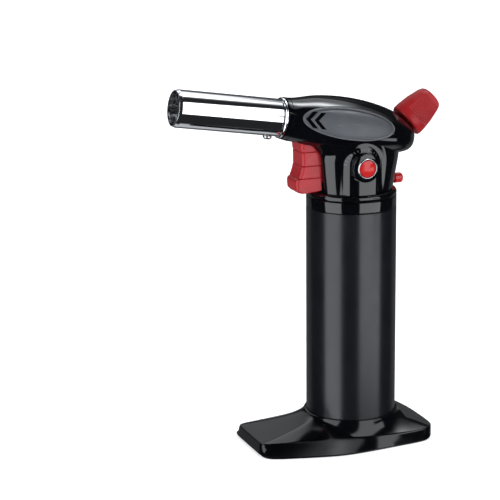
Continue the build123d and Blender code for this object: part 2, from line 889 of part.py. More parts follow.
NEEDLE_R = 2.4
with BuildPart() as regulator_block:
    with BuildSketch(Plane.XY.offset(147.2)):
        with Locations((9.8, 0)):
            Rectangle(10.0, 12.0)
    extrude(amount=15.8)
    fillet(regulator_block.edges().filter_by(Axis.Z), radius=1.5)
    with BuildSketch(knob_plane(-18.5)):
        Circle(4.4)
    extrude(amount=18.5 - 4.6)
    with BuildSketch(knob_plane(-16.5)):
        Circle(NEEDLE_R + FIT)
    extrude(amount=15, mode=Mode.SUBTRACT)
    with BuildSketch(knob_plane(-7.6)):
        Circle(3.35)
    extrude(amount=5, mode=Mode.SUBTRACT)
    with BuildSketch(burner_plane(-4.05)):
        Circle(2.0 + FIT)
    extrude(amount=10, mode=Mode.SUBTRACT)
    with BuildSketch(side_plane(5.0)):
        with Locations((8.5, 152.0)):
            Circle(1.2)
    extrude(amount=-3.9)
    with BuildSketch(side_plane(0)):
        with Locations((8.5, 152.0)):
            Circle(0.6)
    extrude(amount=-12, mode=Mode.SUBTRACT)
save("regulator_block", regulator_block.part)

with BuildPart() as needle_spindle:
    add(
        turned(
            knob_plane(0),
            [
                (0, -16.2),
                (0.5, -16.2),
                (1.2, -13.2),
                (NEEDLE_R, -13.0),
                (NEEDLE_R, -7.4),
                (1.9, -7.4),
                (1.9, -5.7),
                (NEEDLE_R, -5.7),
                (NEEDLE_R, 1.0),
                (1.8, 1.0),
                (1.8, 9.0),
                (0, 9.0),
            ],
        )
    )
save("needle_spindle", needle_spindle.part)

with BuildPart() as spindle_seal:
    seal_plane = knob_plane(-6.55)
    with BuildSketch(Plane(origin=seal_plane.origin, x_dir=(0, 1, 0), z_dir=seal_plane.y_dir)):
        with Locations((2.62, 0)):
            Circle(0.66)
    revolve(axis=Axis(seal_plane.origin, seal_plane.z_dir))
save("spindle_seal", spindle_seal.part)

KNOB_SHOULDER = 4.6
with BuildPart() as valve_knob:
    add(
        turned(
            knob_plane(0),
            [
                (0, 0.15),
                (KNOB_R - 0.8, 0.15),
                (KNOB_R, 1.2),
                (KNOB_R, 4.0),
                (KNOB_R - 0.6, 9.5),
                (KNOB_R - 1.9, 15.5),
                (KNOB_R - 2.8, 18.0),
                (KNOB_R - 4.4, 18.9),
                (0, KNOB_L),
            ],
        )
    )
    for side in (-1, 1):
        wedge = Plane(
            origin=knob_plane(KNOB_SHOULDER).origin + Vector(0, side * 5.6, 0),
            x_dir=knob_plane(0).y_dir,
            z_dir=Vector(0, side, 0).rotate(Axis((0, 0, 0), knob_plane(0).y_dir), -side * 4),
        )
        along = wedge.to_local_coords(knob_plane(KNOB_SHOULDER + 10).origin).Y
        direction = 1 if along > 0 else -1
        with BuildSketch(wedge):
            with Locations((0, direction * 15)):
                Rectangle(30, 30)
        extrude(amount=10, mode=Mode.SUBTRACT)
        with BuildSketch(wedge):
            with Locations((0, direction * 6.7)):
                with GridLocations(1.0, 1, 13, 1):
                    Rectangle(0.45, 11.0)
        extrude(amount=-0.35, mode=Mode.SUBTRACT)
    with BuildSketch(knob_plane(0)):
        Circle(NEEDLE_R + 0.02)
    extrude(amount=1.02, mode=Mode.SUBTRACT)
    with BuildSketch(knob_plane(0)):
        Circle(1.82)
    extrude(amount=9.1, mode=Mode.SUBTRACT)
save("valve_knob", valve_knob.part)

# --- dial, bezel and lock button on the right side of the neck ---

dial_axis = Plane(origin=(DIAL_X, 0, DIAL_Z), x_dir=(1, 0, 0), z_dir=(0, -1, 0))

with BuildPart() as lock_dial:
    add(
        turned(
            dial_axis,
            [
                (BUTTON_R + 0.1, 17.0),
                (5.5, 17.0),
                (5.5, 20.15),
                (DIAL_R, 20.15),
                (DIAL_R, 24.4),
                (DIAL_R - 0.9, 25.3),
                (5.0, 25.3),
                (5.0, 24.0),
                (BUTTON_R + 0.1, 24.0),
            ],
        )
    )
save("lock_dial", lock_dial.part)

with BuildPart() as dial_bezel:
    add(
        turned(
            dial_axis,
            [
                (BUTTON_R + 0.15, 24.05),
                (4.95, 24.05),
                (4.95, 25.4),
                (4.7, 25.7),
                (BUTTON_R + 0.4, 25.7),
                (BUTTON_R + 0.15, 25.4),
            ],
        )
    )
save("dial_bezel", dial_bezel.part)

BUTTON_STEM_R = 1.5
with BuildPart() as lock_button:
    with BuildSketch(Plane(origin=dial_axis.origin, x_dir=(1, 0, 0), z_dir=(0, 0, 1))):
        with BuildLine():
            dome = TangentArc((0, -26.6), (BUTTON_R, -25.9), tangent=(1, 0))
            Polyline(
                dome @ 1,
                (BUTTON_R, -21.2),
                (BUTTON_STEM_R, -21.2),
                (BUTTON_STEM_R, -10.5),
                (1.1, -10.5),
                (1.1, -9.9),
                (BUTTON_STEM_R, -9.9),
                (BUTTON_STEM_R, -8.5),
                (0, -8.5),
                dome @ 0,
            )
        make_face()
    revolve(axis=Axis(dial_axis.origin, (0, 1, 0)))
save("lock_button", lock_button.part)

with BuildPart() as button_clip:
    with BuildSketch(side_plane(-10.45)):
        with Locations((DIAL_X, DIAL_Z)):
            Circle(2.8)
            Circle(1.15, mode=Mode.SUBTRACT)
            with Locations((0, -2)):
                Rectangle(1.6, 4, mode=Mode.SUBTRACT)
    extrude(amount=-0.5)
save("button_clip", button_clip.part)

with BuildPart() as button_spring:
    add(spring_sleeve(dial_axis.offset(12.15), 2.9, 9.0))
save("button_spring", button_spring.part)

# --- trigger, its spring and the piezo igniter ---

TRIGGER_TRAVEL = 5.0
RAMP_SLOPE = 0.24
PIEZO_Z = 140.5
LEVER_X = -6.0
LEVER_Z = 131.6
LEVER_NOSE_X = -12.0
LEVER_NOSE_TOP = 134.4
CARRIAGE_HALF_W = 6.3
RAMP_FRONT_X = -17.6
RAMP_REAR_X = -11.3


def ramp_height(x):
    """Underside of the trigger's ramp, which clears the lever's nose at rest by half a gap."""
    return LEVER_NOSE_TOP + GAP / 2 + RAMP_SLOPE * (x - LEVER_NOSE_X)


with BuildPart() as trigger:
    with BuildSketch(Plane.XZ):
        with BuildLine():
            Polyline(
                (-29.7, 153.9),
                (-29.1, 149.3),
                (-28.9, 143.0),
                (-30.2, 138.0),
                (-30.9, 136.4),
                (-32.2, 135.4),
                (-31.9, 130.7),
                (-29.3, 128.9),
                (-19.0, 129.7),
                (-19.0, 153.9),
                close=True,
            )
        make_face()
    extrude(amount=TRIGGER_W / 2, both=True)
    front = trigger.faces().filter_by(Axis.Y).edges().filter_by(lambda e: e.center().X < -28.6)
    chamfer(front, length=1.5)
    for z, depth in ((149.2, 0.7), (142.3, 0.7), (136.2, 0.7)):
        with BuildSketch(Plane.XY.offset(z)):
            with Locations((-25.5, 0)):
                Rectangle(13.0, TRIGGER_W)
                Rectangle(13.0, TRIGGER_W - 2 * depth, mode=Mode.SUBTRACT)
        extrude(amount=0.55, mode=Mode.SUBTRACT)
    with BuildSketch(Plane.XZ):
        with BuildLine():
            Polyline((-19.0, 133.6), (-13.0, 135.2), (-13.0, 152.0), (-19.0, 152.0), close=True)
        make_face()
    extrude(amount=CARRIAGE_HALF_W, both=True)
    with BuildSketch(Plane.XZ):
        with BuildLine():
            Polyline(
                (RAMP_FRONT_X, ramp_height(RAMP_FRONT_X)),
                (RAMP_REAR_X, ramp_height(RAMP_REAR_X)),
                (RAMP_REAR_X, 136.3),
                (RAMP_FRONT_X, 136.3),
                close=True,
            )
        make_face()
    extrude(amount=3.0, both=True)
    # Finger the lock button's pin enters when the trigger is fully pressed.
    with BuildSketch(side_plane(-CARRIAGE_HALF_W)):
        with Locations((-9.6, DIAL_Z)):
            Rectangle(8.2, 5.4)
        with Locations((DIAL_X - TRIGGER_TRAVEL, DIAL_Z)):
            Circle(BUTTON_STEM_R + 0.2, mode=Mode.SUBTRACT)
    extrude(amount=1.3)
    with BuildSketch(side_plane(-CARRIAGE_HALF_W + 1.5)):
        with Locations((-14.2, DIAL_Z)):
            Rectangle(2.4, 5.4)
    extrude(amount=2.8)
save("trigger", trigger.part)

PLUNGER_LEN = 12.0
with BuildPart() as piezo_plunger:
    with BuildSketch(Plane.YZ.offset(-12.95)):
        with Locations((0, PIEZO_Z)):
            RectangleRounded(6.0, 6.0, 0.8)
    extrude(amount=PLUNGER_LEN)
save("piezo_plunger", piezo_plunger.part)

SPRING_Z = 147.5
with BuildPart() as piezo_body:
    with BuildSketch(Plane.YZ.offset(-6.0)):
        with Locations((0, PIEZO_Z)):
            RectangleRounded(8.0, 8.0, 1.0)
    extrude(amount=18.0)
    with BuildSketch(Plane.YZ.offset(-6.0)):
        with Locations((0, PIEZO_Z)):
            RectangleRounded(6.2, 6.2, 0.9)
    extrude(amount=11.5, mode=Mode.SUBTRACT)
    with BuildSketch(Plane.XZ):
        with BuildLine():
            Polyline((-0.8, 144.3), (0.8, 144.3), (0.8, 150.3), (-0.8, 150.3), close=True)
        make_face()
    extrude(amount=3.2, both=True)
save("piezo_body", piezo_body.part)

with BuildPart() as trigger_spring:
    spring_seat = Plane(origin=(-12.9, 0, SPRING_Z), x_dir=(0, 1, 0), z_dir=(1, 0, 0))
    add(spring_sleeve(spring_seat, 2.4, 12.0))
save("trigger_spring", trigger_spring.part)

# --- gas lever: the trigger's ramp presses its nose down, its fork lifts the valve stem ---

LEVER_PIN_R = 1.0
FORK_TOP = STEM_FLANGE_Z - 0.15
with BuildPart() as gas_lever:
    with BuildSketch(Plane.XZ):
        with BuildLine():
            Polyline(
                (-12.6, 132.9),
                (-11.6, 132.6),
                (-7.4, 130.4),
                (2.2, 130.4),
                (2.2, 131.5),
                (-4.4, 131.5),
                (-6.0, 133.3),
                (-11.4, 133.7),
                close=True,
            )
        make_face()
        with Locations((LEVER_NOSE_X, LEVER_NOSE_TOP - 0.8), (0, FORK_TOP - 0.8)):
            Circle(0.8)
        with Locations((LEVER_X, LEVER_Z)):
            Circle(1.9)
        with Locations((LEVER_NOSE_X + 0.2, 133.2)):
            Circle(0.7)
        with Locations((0, 131.2)):
            Rectangle(1.6, 0.8)
    extrude(amount=4.0, both=True)
    with BuildSketch(Plane.XY.offset(128.0)):
        with Locations((1.5, 0)):
            SlotOverall(9.0, 4.2)
    extrude(amount=8.0, mode=Mode.SUBTRACT)
    with BuildSketch(Plane.XZ):
        with Locations((LEVER_X, LEVER_Z)):
            Circle(LEVER_PIN_R + FIT)
    extrude(amount=6, both=True, mode=Mode.SUBTRACT)
save("gas_lever", gas_lever.part)

with BuildPart() as lever_pin:
    with BuildSketch(Plane.XZ):
        with Locations((LEVER_X, LEVER_Z)):
            Circle(LEVER_PIN_R)
    extrude(amount=7.4, both=True)
save("lever_pin", lever_pin.part)

# --- mechanism frame: floor plate with pin ears, igniter cradle and spring posts ---

FRAME_Z = 126.15
FRAME_T = 1.3
with BuildPart() as mechanism_frame:
    with BuildSketch(Plane.XY.offset(FRAME_Z)):
        Circle(16.6)
        Circle(5.3, mode=Mode.SUBTRACT)
        with Locations((-8.5, 0)):
            Rectangle(9.0, 9.4, mode=Mode.SUBTRACT)
        with Locations((0.7, 12.5)):
            Rectangle(6.4, 20.0, mode=Mode.SUBTRACT)
    extrude(amount=FRAME_T)
    with BuildSketch(Plane.XY.offset(FRAME_Z)):
        with Locations((LEVER_X, 6.2), (LEVER_X, -6.2)):
            Rectangle(4.4, 2.0)
    extrude(amount=8.2)
    with BuildSketch(Plane.XY.offset(FRAME_Z)):
        with Locations((8.0, 4.9), (8.0, -4.9)):
            Rectangle(6.0, 1.4)
    extrude(amount=18.2)
    with BuildSketch(Plane.XY.offset(FRAME_Z)):
        with Locations((10.0, 0)):
            Rectangle(1.6, 10.0)
    extrude(amount=8.4)
    with BuildSketch(Plane.XY.offset(FRAME_Z)):
        with Locations((DIAL_X, -11.35)):
            Rectangle(7.4, 1.4)
    extrude(amount=DIAL_Z + 4.2 - FRAME_Z)
    with BuildSketch(Plane.XZ):
        with Locations((LEVER_X, LEVER_Z)):
            Circle(LEVER_PIN_R + 0.02)
    extrude(amount=8, both=True, mode=Mode.SUBTRACT)
    with BuildSketch(side_plane(-9.0)):
        with Locations((DIAL_X, DIAL_Z)):
            Circle(BUTTON_STEM_R + FIT)
    extrude(amount=6, mode=Mode.SUBTRACT)
    with BuildSketch(Plane.YZ.offset(7.0)):
        with Locations((0, PIN_Z)):
            Circle(1.5 + FIT)
    extrude(amount=6, mode=Mode.SUBTRACT)
save("mechanism_frame", mechanism_frame.part)

# --- safety pin at the back of the neck ---

with BuildPart() as safety_pin:
    add(
        turned(
            Plane(origin=(0, 0, PIN_Z), x_dir=(0, 1, 0), z_dir=(1, 0, 0)),
            [
                (0, 8.6),
                (1.5, 8.6),
                (1.5, 16.6),
                (3.1, 16.6),
                (3.1, 17.6),
                (PIN_SHAFT_R, 17.6),
                (PIN_SHAFT_R, 22.9),
                (PIN_R, 22.9),
                (PIN_R, 27.3),
                (PIN_R - 0.7, 28.0),
                (0, 28.0),
            ],
        )
    )
save("safety_pin", safety_pin.part)

with BuildPart() as safety_spring:
    pin_seat = Plane(origin=(10.9, 0, PIN_Z), x_dir=(0, 1, 0), z_dir=(1, 0, 0))
    add(spring_sleeve(pin_seat, 2.2, 5.6))
save("safety_spring", safety_spring.part)

# --- gas hose, ignition lead, electrode ---


def routed_tube(points, radii, outer, inner=0.0):
    """Round tube along straight runs joined by tangent arcs."""
    with BuildPart() as body:
        with BuildLine() as route:
            FilletPolyline(*points, radius=radii)
        start = route.line @ 0
        with BuildSketch(Plane(origin=start, z_dir=route.line % 0)):
            Circle(outer)
            if inner:
                Circle(inner, mode=Mode.SUBTRACT)
        sweep(path=route.line)
    return body.part


HOSE_POINTS = [(0, 6.6, BARB_Z), (0, 13.2, BARB_Z), (8.5, 13.2, 152.0), (8.5, 7.0, 152.0)]
with BuildPart() as gas_hose:
    add(routed_tube(HOSE_POINTS, [4.0, 4.0], 1.75, 1.3))
save("gas_hose", gas_hose.part)

lead_start = (2.9, -2.0, PIEZO_Z + 4.05)
lead_end = burner_plane(32.0).origin + Vector(0, ELECTRODE_Y, 0)
lead_bend = burner_plane(14.0).origin + Vector(0, ELECTRODE_Y, 0)
with BuildPart() as ignition_lead:
    add(
        routed_tube(
            [lead_start, (2.9, -2.2, 150.5), (1.0, -8.5, 158.0), lead_bend, lead_end],
            [6.0, 5.5, 20.0],
            0.9,
        )
    )
save("ignition_lead", ignition_lead.part)

electrode_line = Plane(
    origin=burner_plane(0).origin + Vector(0, ELECTRODE_Y, 0),
    x_dir=(0, 1, 0),
    z_dir=burner_plane(0).z_dir,
)
with BuildPart() as electrode_insulator:
    add(turned(electrode_line, [(0.5, 33.6), (1.3, 33.6), (1.3, 77.0), (0.9, 78.0), (0.5, 78.0)]))
save("electrode_insulator", electrode_insulator.part)

with BuildPart() as electrode:
    add(turned(electrode_line, [(0, 32.05), (0.45, 32.05), (0.45, 88.0), (0.2, 88.8), (0, 88.8)]))
save("electrode", electrode.part)
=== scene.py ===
import json
from cmath import phase, rect
from math import atan2, copysign, cos, hypot, pi, radians, sin, sqrt, tan

import bmesh
import bpy
from mathutils import Matrix, Vector


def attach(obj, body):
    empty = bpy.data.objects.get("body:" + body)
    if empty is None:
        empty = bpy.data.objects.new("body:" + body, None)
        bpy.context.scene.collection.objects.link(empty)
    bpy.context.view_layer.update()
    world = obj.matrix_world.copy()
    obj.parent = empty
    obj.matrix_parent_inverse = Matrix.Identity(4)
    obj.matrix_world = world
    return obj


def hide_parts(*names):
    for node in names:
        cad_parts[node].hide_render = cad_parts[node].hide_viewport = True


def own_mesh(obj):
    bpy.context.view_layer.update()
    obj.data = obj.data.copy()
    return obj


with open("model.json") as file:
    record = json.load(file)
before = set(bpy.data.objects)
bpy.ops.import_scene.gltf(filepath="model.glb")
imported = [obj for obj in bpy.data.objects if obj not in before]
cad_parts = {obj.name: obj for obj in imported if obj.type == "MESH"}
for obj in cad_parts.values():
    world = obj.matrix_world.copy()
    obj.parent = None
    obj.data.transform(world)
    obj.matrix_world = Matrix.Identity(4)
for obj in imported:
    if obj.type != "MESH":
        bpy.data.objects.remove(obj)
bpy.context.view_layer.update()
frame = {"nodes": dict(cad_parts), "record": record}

# ---- dimensions, mm
# As in the CAD, but for the head's front radius, which is 0.6 mm larger here.
TANK_R = 22.5
TANK_TOP = 119.7
BAND_TOP = 125.4
RING_TOP = 128.9
STAND_WALL_H = 6.5
STAND_COLLAR_H = 14.3
STAND_COLLAR_R = 23.7
SOCKET_R = 22.55
BURNER_PITCH = radians(9.1)
BURNER_Z = 160.3
HEAD_FRONT_U = -37.4
HEAD_REAR_U = 32.4
CROWN_U, CROWN_V, CROWN_H, KEEL_V = -9.0, -3.3, 16.45, -13.0
HEAD_HALF_L, HEAD_HALF_W, WIDEST_U, FRONT_R = 43.2, 21.5, 3.0, 10.3
WALL = 2.4
NECK_BOTTOM = 128.9
SPIGOT_BOTTOM = 121.4
PLUG_HUB_R = 17.0
TUBE_R, TUBE_WALL, SPIGOT_R, MOUTH_S, SHOULDER_S = 9.2, 0.8, 8.5, 93.5, 39.3
KNOB_TILT = radians(40.0)
KNOB_X, KNOB_Z = 29.1, 159.2
DIAL_X, DIAL_Z, DIAL_R, BUTTON_R = -2.5, 143.0, 7.0, 4.1
PIN_Z, PIN_R, PIN_SHAFT_R = 131.3, 2.55, 1.8
OPENING_HALF_W = 7.4
INLAY_U, INLAY_V, INLAY_A, INLAY_B = -8.3, 2.3, 23.2, 7.5
RECESS = 1.15
FIT = 0.05

AXIS_U = Vector((cos(BURNER_PITCH), 0, -sin(BURNER_PITCH)))
AXIS_V = Vector((sin(BURNER_PITCH), 0, cos(BURNER_PITCH)))
AXIS_Y = Vector((0, 1, 0))
BURNER_0 = Vector((0, 0, BURNER_Z))
KNOB_0 = Vector((KNOB_X, 0, KNOB_Z))
KNOB_AXIS = Vector((cos(KNOB_TILT), 0, sin(KNOB_TILT)))
KNOB_UP = Vector((-sin(KNOB_TILT), 0, cos(KNOB_TILT)))
DIAL_0 = Vector((DIAL_X, 0, DIAL_Z))
UP = Vector((0, 0, 1))
ALONG_X = Vector((1, 0, 0))


def smoothstep(low, high, x):
    t = min(1.0, max(0.0, (x - low) / (high - low)))
    return t * t * (3 - 2 * t)


def circle(count):
    """Equal angles round a full turn."""
    return [2 * pi * k / count for k in range(count)]


# ---- mesh helpers
# Faces carry one of these while a piece is built: its skin, a second skin, a seat or groove, or a cut.
SKIN, SECOND, SEAT, INSIDE = range(4)
blank = [bpy.data.materials.new(f"blank_{i}") for i in (SKIN, SECOND, SEAT, INSIDE)]


def in_scene(obj):
    bpy.context.scene.collection.objects.link(obj)
    return obj


def mesh_object(name, verts, faces, index=SKIN):
    """Mesh object in millimetres, with its faces on one of the blank slots, normals outwards."""
    data = bpy.data.meshes.new(name)
    data.from_pydata([tuple(v) for v in verts], [], faces)
    for m in blank:
        data.materials.append(m)
    work = bmesh.new()
    work.from_mesh(data)
    bmesh.ops.recalc_face_normals(work, faces=work.faces)
    for f in work.faces:
        f.material_index = index
        f.smooth = True
    work.to_mesh(data)
    work.free()
    return in_scene(bpy.data.objects.new(name, data))


def ring_solid(name, rings, index=SKIN, closed=False):
    """Solid through a stack of rings with equal counts; closed joins the last ring to the first."""
    n = len(rings[0])
    verts = [p for ring in rings for p in ring]
    faces = []
    last = len(rings) if closed else len(rings) - 1
    for i in range(last):
        j = (i + 1) % len(rings)
        for k in range(n):
            m = (k + 1) % n
            faces.append((i * n + k, i * n + m, j * n + m, j * n + k))
    if not closed:
        faces.append(tuple(range(n)))
        faces.append(tuple(range((len(rings) - 1) * n, len(rings) * n)))
    return mesh_object(name, verts, faces, index)


def rounded(profile, radius, steps=4):
    """Closed profile with each corner rounded; radius is one number or one for each corner."""
    count = len(profile)
    radii = radius if isinstance(radius, (list, tuple)) else [radius] * count
    out = []
    for i, corner in enumerate(profile):
        p = Vector(corner)
        to_a = Vector(profile[i - 1]) - p
        to_b = Vector(profile[(i + 1) % count]) - p
        size = min(radii[i], to_a.length * 0.45, to_b.length * 0.45)
        if size < 1e-4:
            out.append(p)
            continue
        a = p + to_a.normalized() * size
        b = p + to_b.normalized() * size
        for s in range(steps + 1):
            t = s / steps
            out.append(a * (1 - t) ** 2 + p * 2 * t * (1 - t) + b * t * t)
    return [(v.x, v.y) for v in out]


def lathe(name, origin, along, across, profile, around=160, index=SKIN):
    """Closed body of revolution: profile is a closed loop of (radius, distance along the axis)."""
    side = along.cross(across)
    on_axis = [i for i, (r, _) in enumerate(profile) if r < 1e-6]
    rings = []
    for turn in circle(around):
        spoke = across * cos(turn) + side * sin(turn)
        rings.append([origin + along * h + spoke * r for r, h in profile])
    obj = ring_solid(name, rings, index, closed=True)
    if on_axis:
        work = bmesh.new()
        work.from_mesh(obj.data)
        bmesh.ops.remove_doubles(work, verts=work.verts, dist=1e-5)
        bmesh.ops.recalc_face_normals(work, faces=work.faces)
        work.to_mesh(obj.data)
        work.free()
    return obj


def across_from(along):
    """A direction at right angles to the axes used here."""
    return AXIS_Y if abs(along.y) < 0.9 else ALONG_X


def rod(name, start, along, radius, length, around=64, index=INSIDE):
    profile = [(0, 0), (radius, 0), (radius, length), (0, length)]
    return lathe(name, start, along, across_from(along), profile, around, index)


def prism(name, outline, place, depth_dir, depth, index=INSIDE):
    """Straight-sided solid: outline points are placed by a function, then moved along depth_dir."""
    low = [place(a, b) for a, b in outline]
    high = [p + depth_dir * depth for p in low]
    return ring_solid(name, [low, high], index)


def block(name, low, high, index=INSIDE):
    (x0, y0, z0), (x1, y1, z1) = low, high
    base = [(x0, y0), (x1, y0), (x1, y1), (x0, y1)]
    return prism(name, base, lambda a, b: Vector((a, b, z0)), UP, z1 - z0, index)


def drop(obj):
    """Removes an object and its mesh."""
    data = obj.data
    bpy.data.objects.remove(obj)
    bpy.data.meshes.remove(data)


def combine(target, tool, operation):
    """Applies an exact Boolean of target with tool, which it uses up."""
    m = target.modifiers.new("cut", "BOOLEAN")
    m.operation, m.object, m.solver, m.material_mode = operation, tool, "EXACT", "INDEX"
    bpy.context.view_layer.update()
    graph = bpy.context.evaluated_depsgraph_get()
    data = bpy.data.meshes.new_from_object(target.evaluated_get(graph))
    target.modifiers.clear()
    old = target.data
    target.data = data
    bpy.data.meshes.remove(old)
    work = bmesh.new()
    work.from_mesh(data)
    bmesh.ops.remove_doubles(work, verts=work.verts, dist=2e-4)
    bmesh.ops.dissolve_degenerate(work, edges=work.edges, dist=1e-5)
    work.to_mesh(data)
    work.free()
    drop(tool)
    return target


def cut(target, *tools):
    for tool in tools:
        combine(target, tool, "DIFFERENCE")
    return target


def union(target, *tools):
    for tool in tools:
        combine(target, tool, "UNION")
    return target


def keep_side(obj, point, towards):
    """Cuts the solid at a plane, keeps the side it faces and closes the cut."""
    work = bmesh.new()
    work.from_mesh(obj.data)
    geometry = work.verts[:] + work.edges[:] + work.faces[:]
    made = bmesh.ops.bisect_plane(
        work, geom=geometry, plane_co=point, plane_no=towards, dist=1e-5, clear_inner=True
    )
    rim = [e for e in made["geom_cut"] if isinstance(e, bmesh.types.BMEdge)]
    made = bmesh.ops.triangle_fill(work, edges=rim, use_beauty=True, use_dissolve=False)
    for f in made["geom"]:
        if isinstance(f, bmesh.types.BMFace):
            f.material_index = INSIDE
    bmesh.ops.recalc_face_normals(work, faces=work.faces)
    work.to_mesh(obj.data)
    work.free()


def sharpen(obj, angle=32.0):
    """Smooth shading, but sharp where faces meet at more than the angle or change slot."""
    work = bmesh.new()
    work.from_mesh(obj.data)
    limit = radians(angle)
    for f in work.faces:
        f.smooth = True
    for e in work.edges:
        same = len({f.material_index for f in e.link_faces}) == 1
        e.smooth = same and len(e.link_faces) == 2 and e.calc_face_angle(0.0) < limit
    work.to_mesh(obj.data)
    work.free()


def exact_normals(obj, by_index, agree=0.86):
    """Gives the faces of each slot the true normals of their surface, where the two nearly agree."""
    data = obj.data
    normals = []
    for f in data.polygons:
        find = by_index.get(f.material_index)
        for i in f.loop_indices:
            n = find(data.vertices[data.loops[i].vertex_index].co) if find else None
            if n is None or abs(n.dot(f.normal)) < agree:
                normals.append((0, 0, 0))
            else:
                normals.append(n if n.dot(f.normal) > 0 else -n)
    data.normals_split_custom_set(normals)


def finish_piece(obj, material, body, *nodes, slot=None):
    """Millimetres to metres, one material, and its place in the frame."""
    obj.data.transform(Matrix.Scale(0.001, 4))
    obj.data.materials.clear()
    obj.data.materials.append(material)
    for f in obj.data.polygons:
        f.material_index = 0
    obj.data.update()
    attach(obj, body)
    if nodes:
        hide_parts(*nodes)
    return obj


# ---- materials


def math_node(tree, kind, a, b=None):
    """Math node on sockets or plain numbers; gives back its output."""
    node = tree.nodes.new("ShaderNodeMath")
    node.operation = kind
    for socket, value in zip(node.inputs, (a, b)):
        if isinstance(value, (int, float)):
            socket.default_value = value
        elif value is not None:
            tree.links.new(value, socket)
    return node.outputs[0]


class Nodes:
    """Small writer for a material's node tree."""

    def __init__(self, name, colour, rough, metallic=0.0):
        self.material = bpy.data.materials.new(name)
        self.material.use_nodes = True
        self.tree = self.material.node_tree
        self.shader = next(n for n in self.tree.nodes if n.type == "BSDF_PRINCIPLED")
        self.shader.inputs["Base Color"].default_value = (*colour, 1)
        self.shader.inputs["Roughness"].default_value = rough
        self.shader.inputs["Metallic"].default_value = metallic
        self.place = self.new("ShaderNodeTexCoord").outputs["Object"]
        self.material.diffuse_color = (*colour, 1)

    def new(self, kind, **settings):
        node = self.tree.nodes.new(kind)
        for key, value in settings.items():
            setattr(node, key, value)
        return node

    def link(self, a, b):
        self.tree.links.new(a, b)

    def noise(self, scale, detail=3.0, stretch=None, rough=0.5):
        node = self.new("ShaderNodeTexNoise")
        node.inputs["Scale"].default_value = scale
        node.inputs["Detail"].default_value = detail
        node.inputs["Roughness"].default_value = rough
        where = self.place
        if stretch:
            mapping = self.new("ShaderNodeMapping")
            mapping.inputs["Scale"].default_value = stretch
            self.link(where, mapping.inputs["Vector"])
            where = mapping.outputs["Vector"]
        self.link(where, node.inputs["Vector"])
        return node.outputs["Fac"]

    def spread(self, value, low, high, in_low=0.3, in_high=0.7):
        node = self.new("ShaderNodeMapRange")
        node.inputs["From Min"].default_value = in_low
        node.inputs["From Max"].default_value = in_high
        node.inputs["To Min"].default_value = low
        node.inputs["To Max"].default_value = high
        self.link(value, node.inputs["Value"])
        return node.outputs["Result"]

    def mix_colour(self, factor, a, b):
        node = self.new("ShaderNodeMix", data_type="RGBA")
        self.link(factor, node.inputs[0])
        for socket, value in ((node.inputs[6], a), (node.inputs[7], b)):
            if isinstance(value, tuple):
                socket.default_value = (*value, 1)
            else:
                self.link(value, socket)
        return node.outputs[2]

    def op(self, kind, a, b=None):
        return math_node(self.tree, kind, a, b)

    def bump(self, height, distance, strength=1.0):
        node = self.new("ShaderNodeBump")
        node.inputs["Distance"].default_value = distance
        node.inputs["Strength"].default_value = strength
        self.link(height, node.inputs["Height"])
        self.link(node.outputs["Normal"], self.shader.inputs["Normal"])

    def drift(self, colour, vary, scale):
        """Slow drift between a darker and a lighter tone of a colour."""
        lighter = tuple(min(1.0, c * (1 + vary)) for c in colour)
        darker = tuple(c * (1 - vary) for c in colour)
        return self.mix_colour(self.spread(self.noise(scale), 0, 1), darker, lighter)

    def uneven_sheen(self, rough, vary, scale, detail):
        sheen = self.spread(self.noise(scale, detail), rough * (1 - vary), rough * (1 + vary))
        self.link(sheen, self.shader.inputs["Roughness"])

    def edge_wear_and_highlight(self, base, worn_and_highlight, amount):
        """Lighter colour along convex edges, broken up by noise: rubbed wear, and where the edge colour is
        strong, as on the inlay's bead, a painted highlight.
        """
        point = self.new("ShaderNodeNewGeometry").outputs["Pointiness"]
        edge = self.spread(point, 0.0, amount, 0.52, 0.60)
        patchy = self.spread(self.noise(900.0), 0.2, 1.0)
        return self.mix_colour(self.op("MULTIPLY", edge, patchy), base, worn_and_highlight)


def plastic(name, colour, rough, gloss_ior=1.5, grain=2200.0, grain_depth=4e-6, wave=0.0, wear_and_highlight=0.25,
            vary=0.15, rough_vary=0.25, worn_and_highlight=None, over=None):
    """Moulded plastic: fine grain, slow waviness, uneven sheen, small colour drift, lighter convex edges:
    rubbed wear, and on the inlay's bead a painted highlight.
    """
    n = Nodes(name, colour, rough)
    n.shader.inputs["IOR"].default_value = gloss_ior
    worn_and_highlight = worn_and_highlight or tuple(min(1.0, c * 1.6 + 0.03) for c in colour)
    # Lighter convex edges: rubbed wear, and on the inlay a painted highlight along its bead.
    paint = n.edge_wear_and_highlight(n.drift(colour, vary, 60.0), worn_and_highlight, wear_and_highlight)
    n.link(over(n, paint) if over else paint, n.shader.inputs["Base Color"])
    n.uneven_sheen(rough, rough_vary, 140.0, 5.0)
    height = n.op("MULTIPLY", n.noise(grain, 2.0), grain_depth)
    if wave:
        height = n.op("ADD", height, n.op("MULTIPLY", n.noise(70.0, 1.0), wave))
    n.bump(height, 1.0)
    return n.material


def metal(name, colour, rough, grain=(1, 1, 1), scale=700.0, depth=1e-6, vary=0.1, rough_vary=0.3):
    """Metal with a directional grain, smudges in its sheen and slight colour drift."""
    n = Nodes(name, colour, rough, 1.0)
    n.link(n.drift(colour, vary, 90.0), n.shader.inputs["Base Color"])
    n.uneven_sheen(rough, rough_vary, 120.0, 6.0)
    n.bump(n.op("MULTIPLY", n.noise(scale, 2.0, grain), depth), 1.0)
    return n.material


BLACK = (0.0016, 0.0017, 0.0026)


def shell_black(name, over=None):
    """The gloss black of the head, the collar and the dial."""
    return plastic(
        name, BLACK, 0.05, 1.52, grain=900.0, grain_depth=0.5e-6, wave=4e-6, wear_and_highlight=0.12,
        worn_and_highlight=(0.02, 0.02, 0.022), over=over,
    )


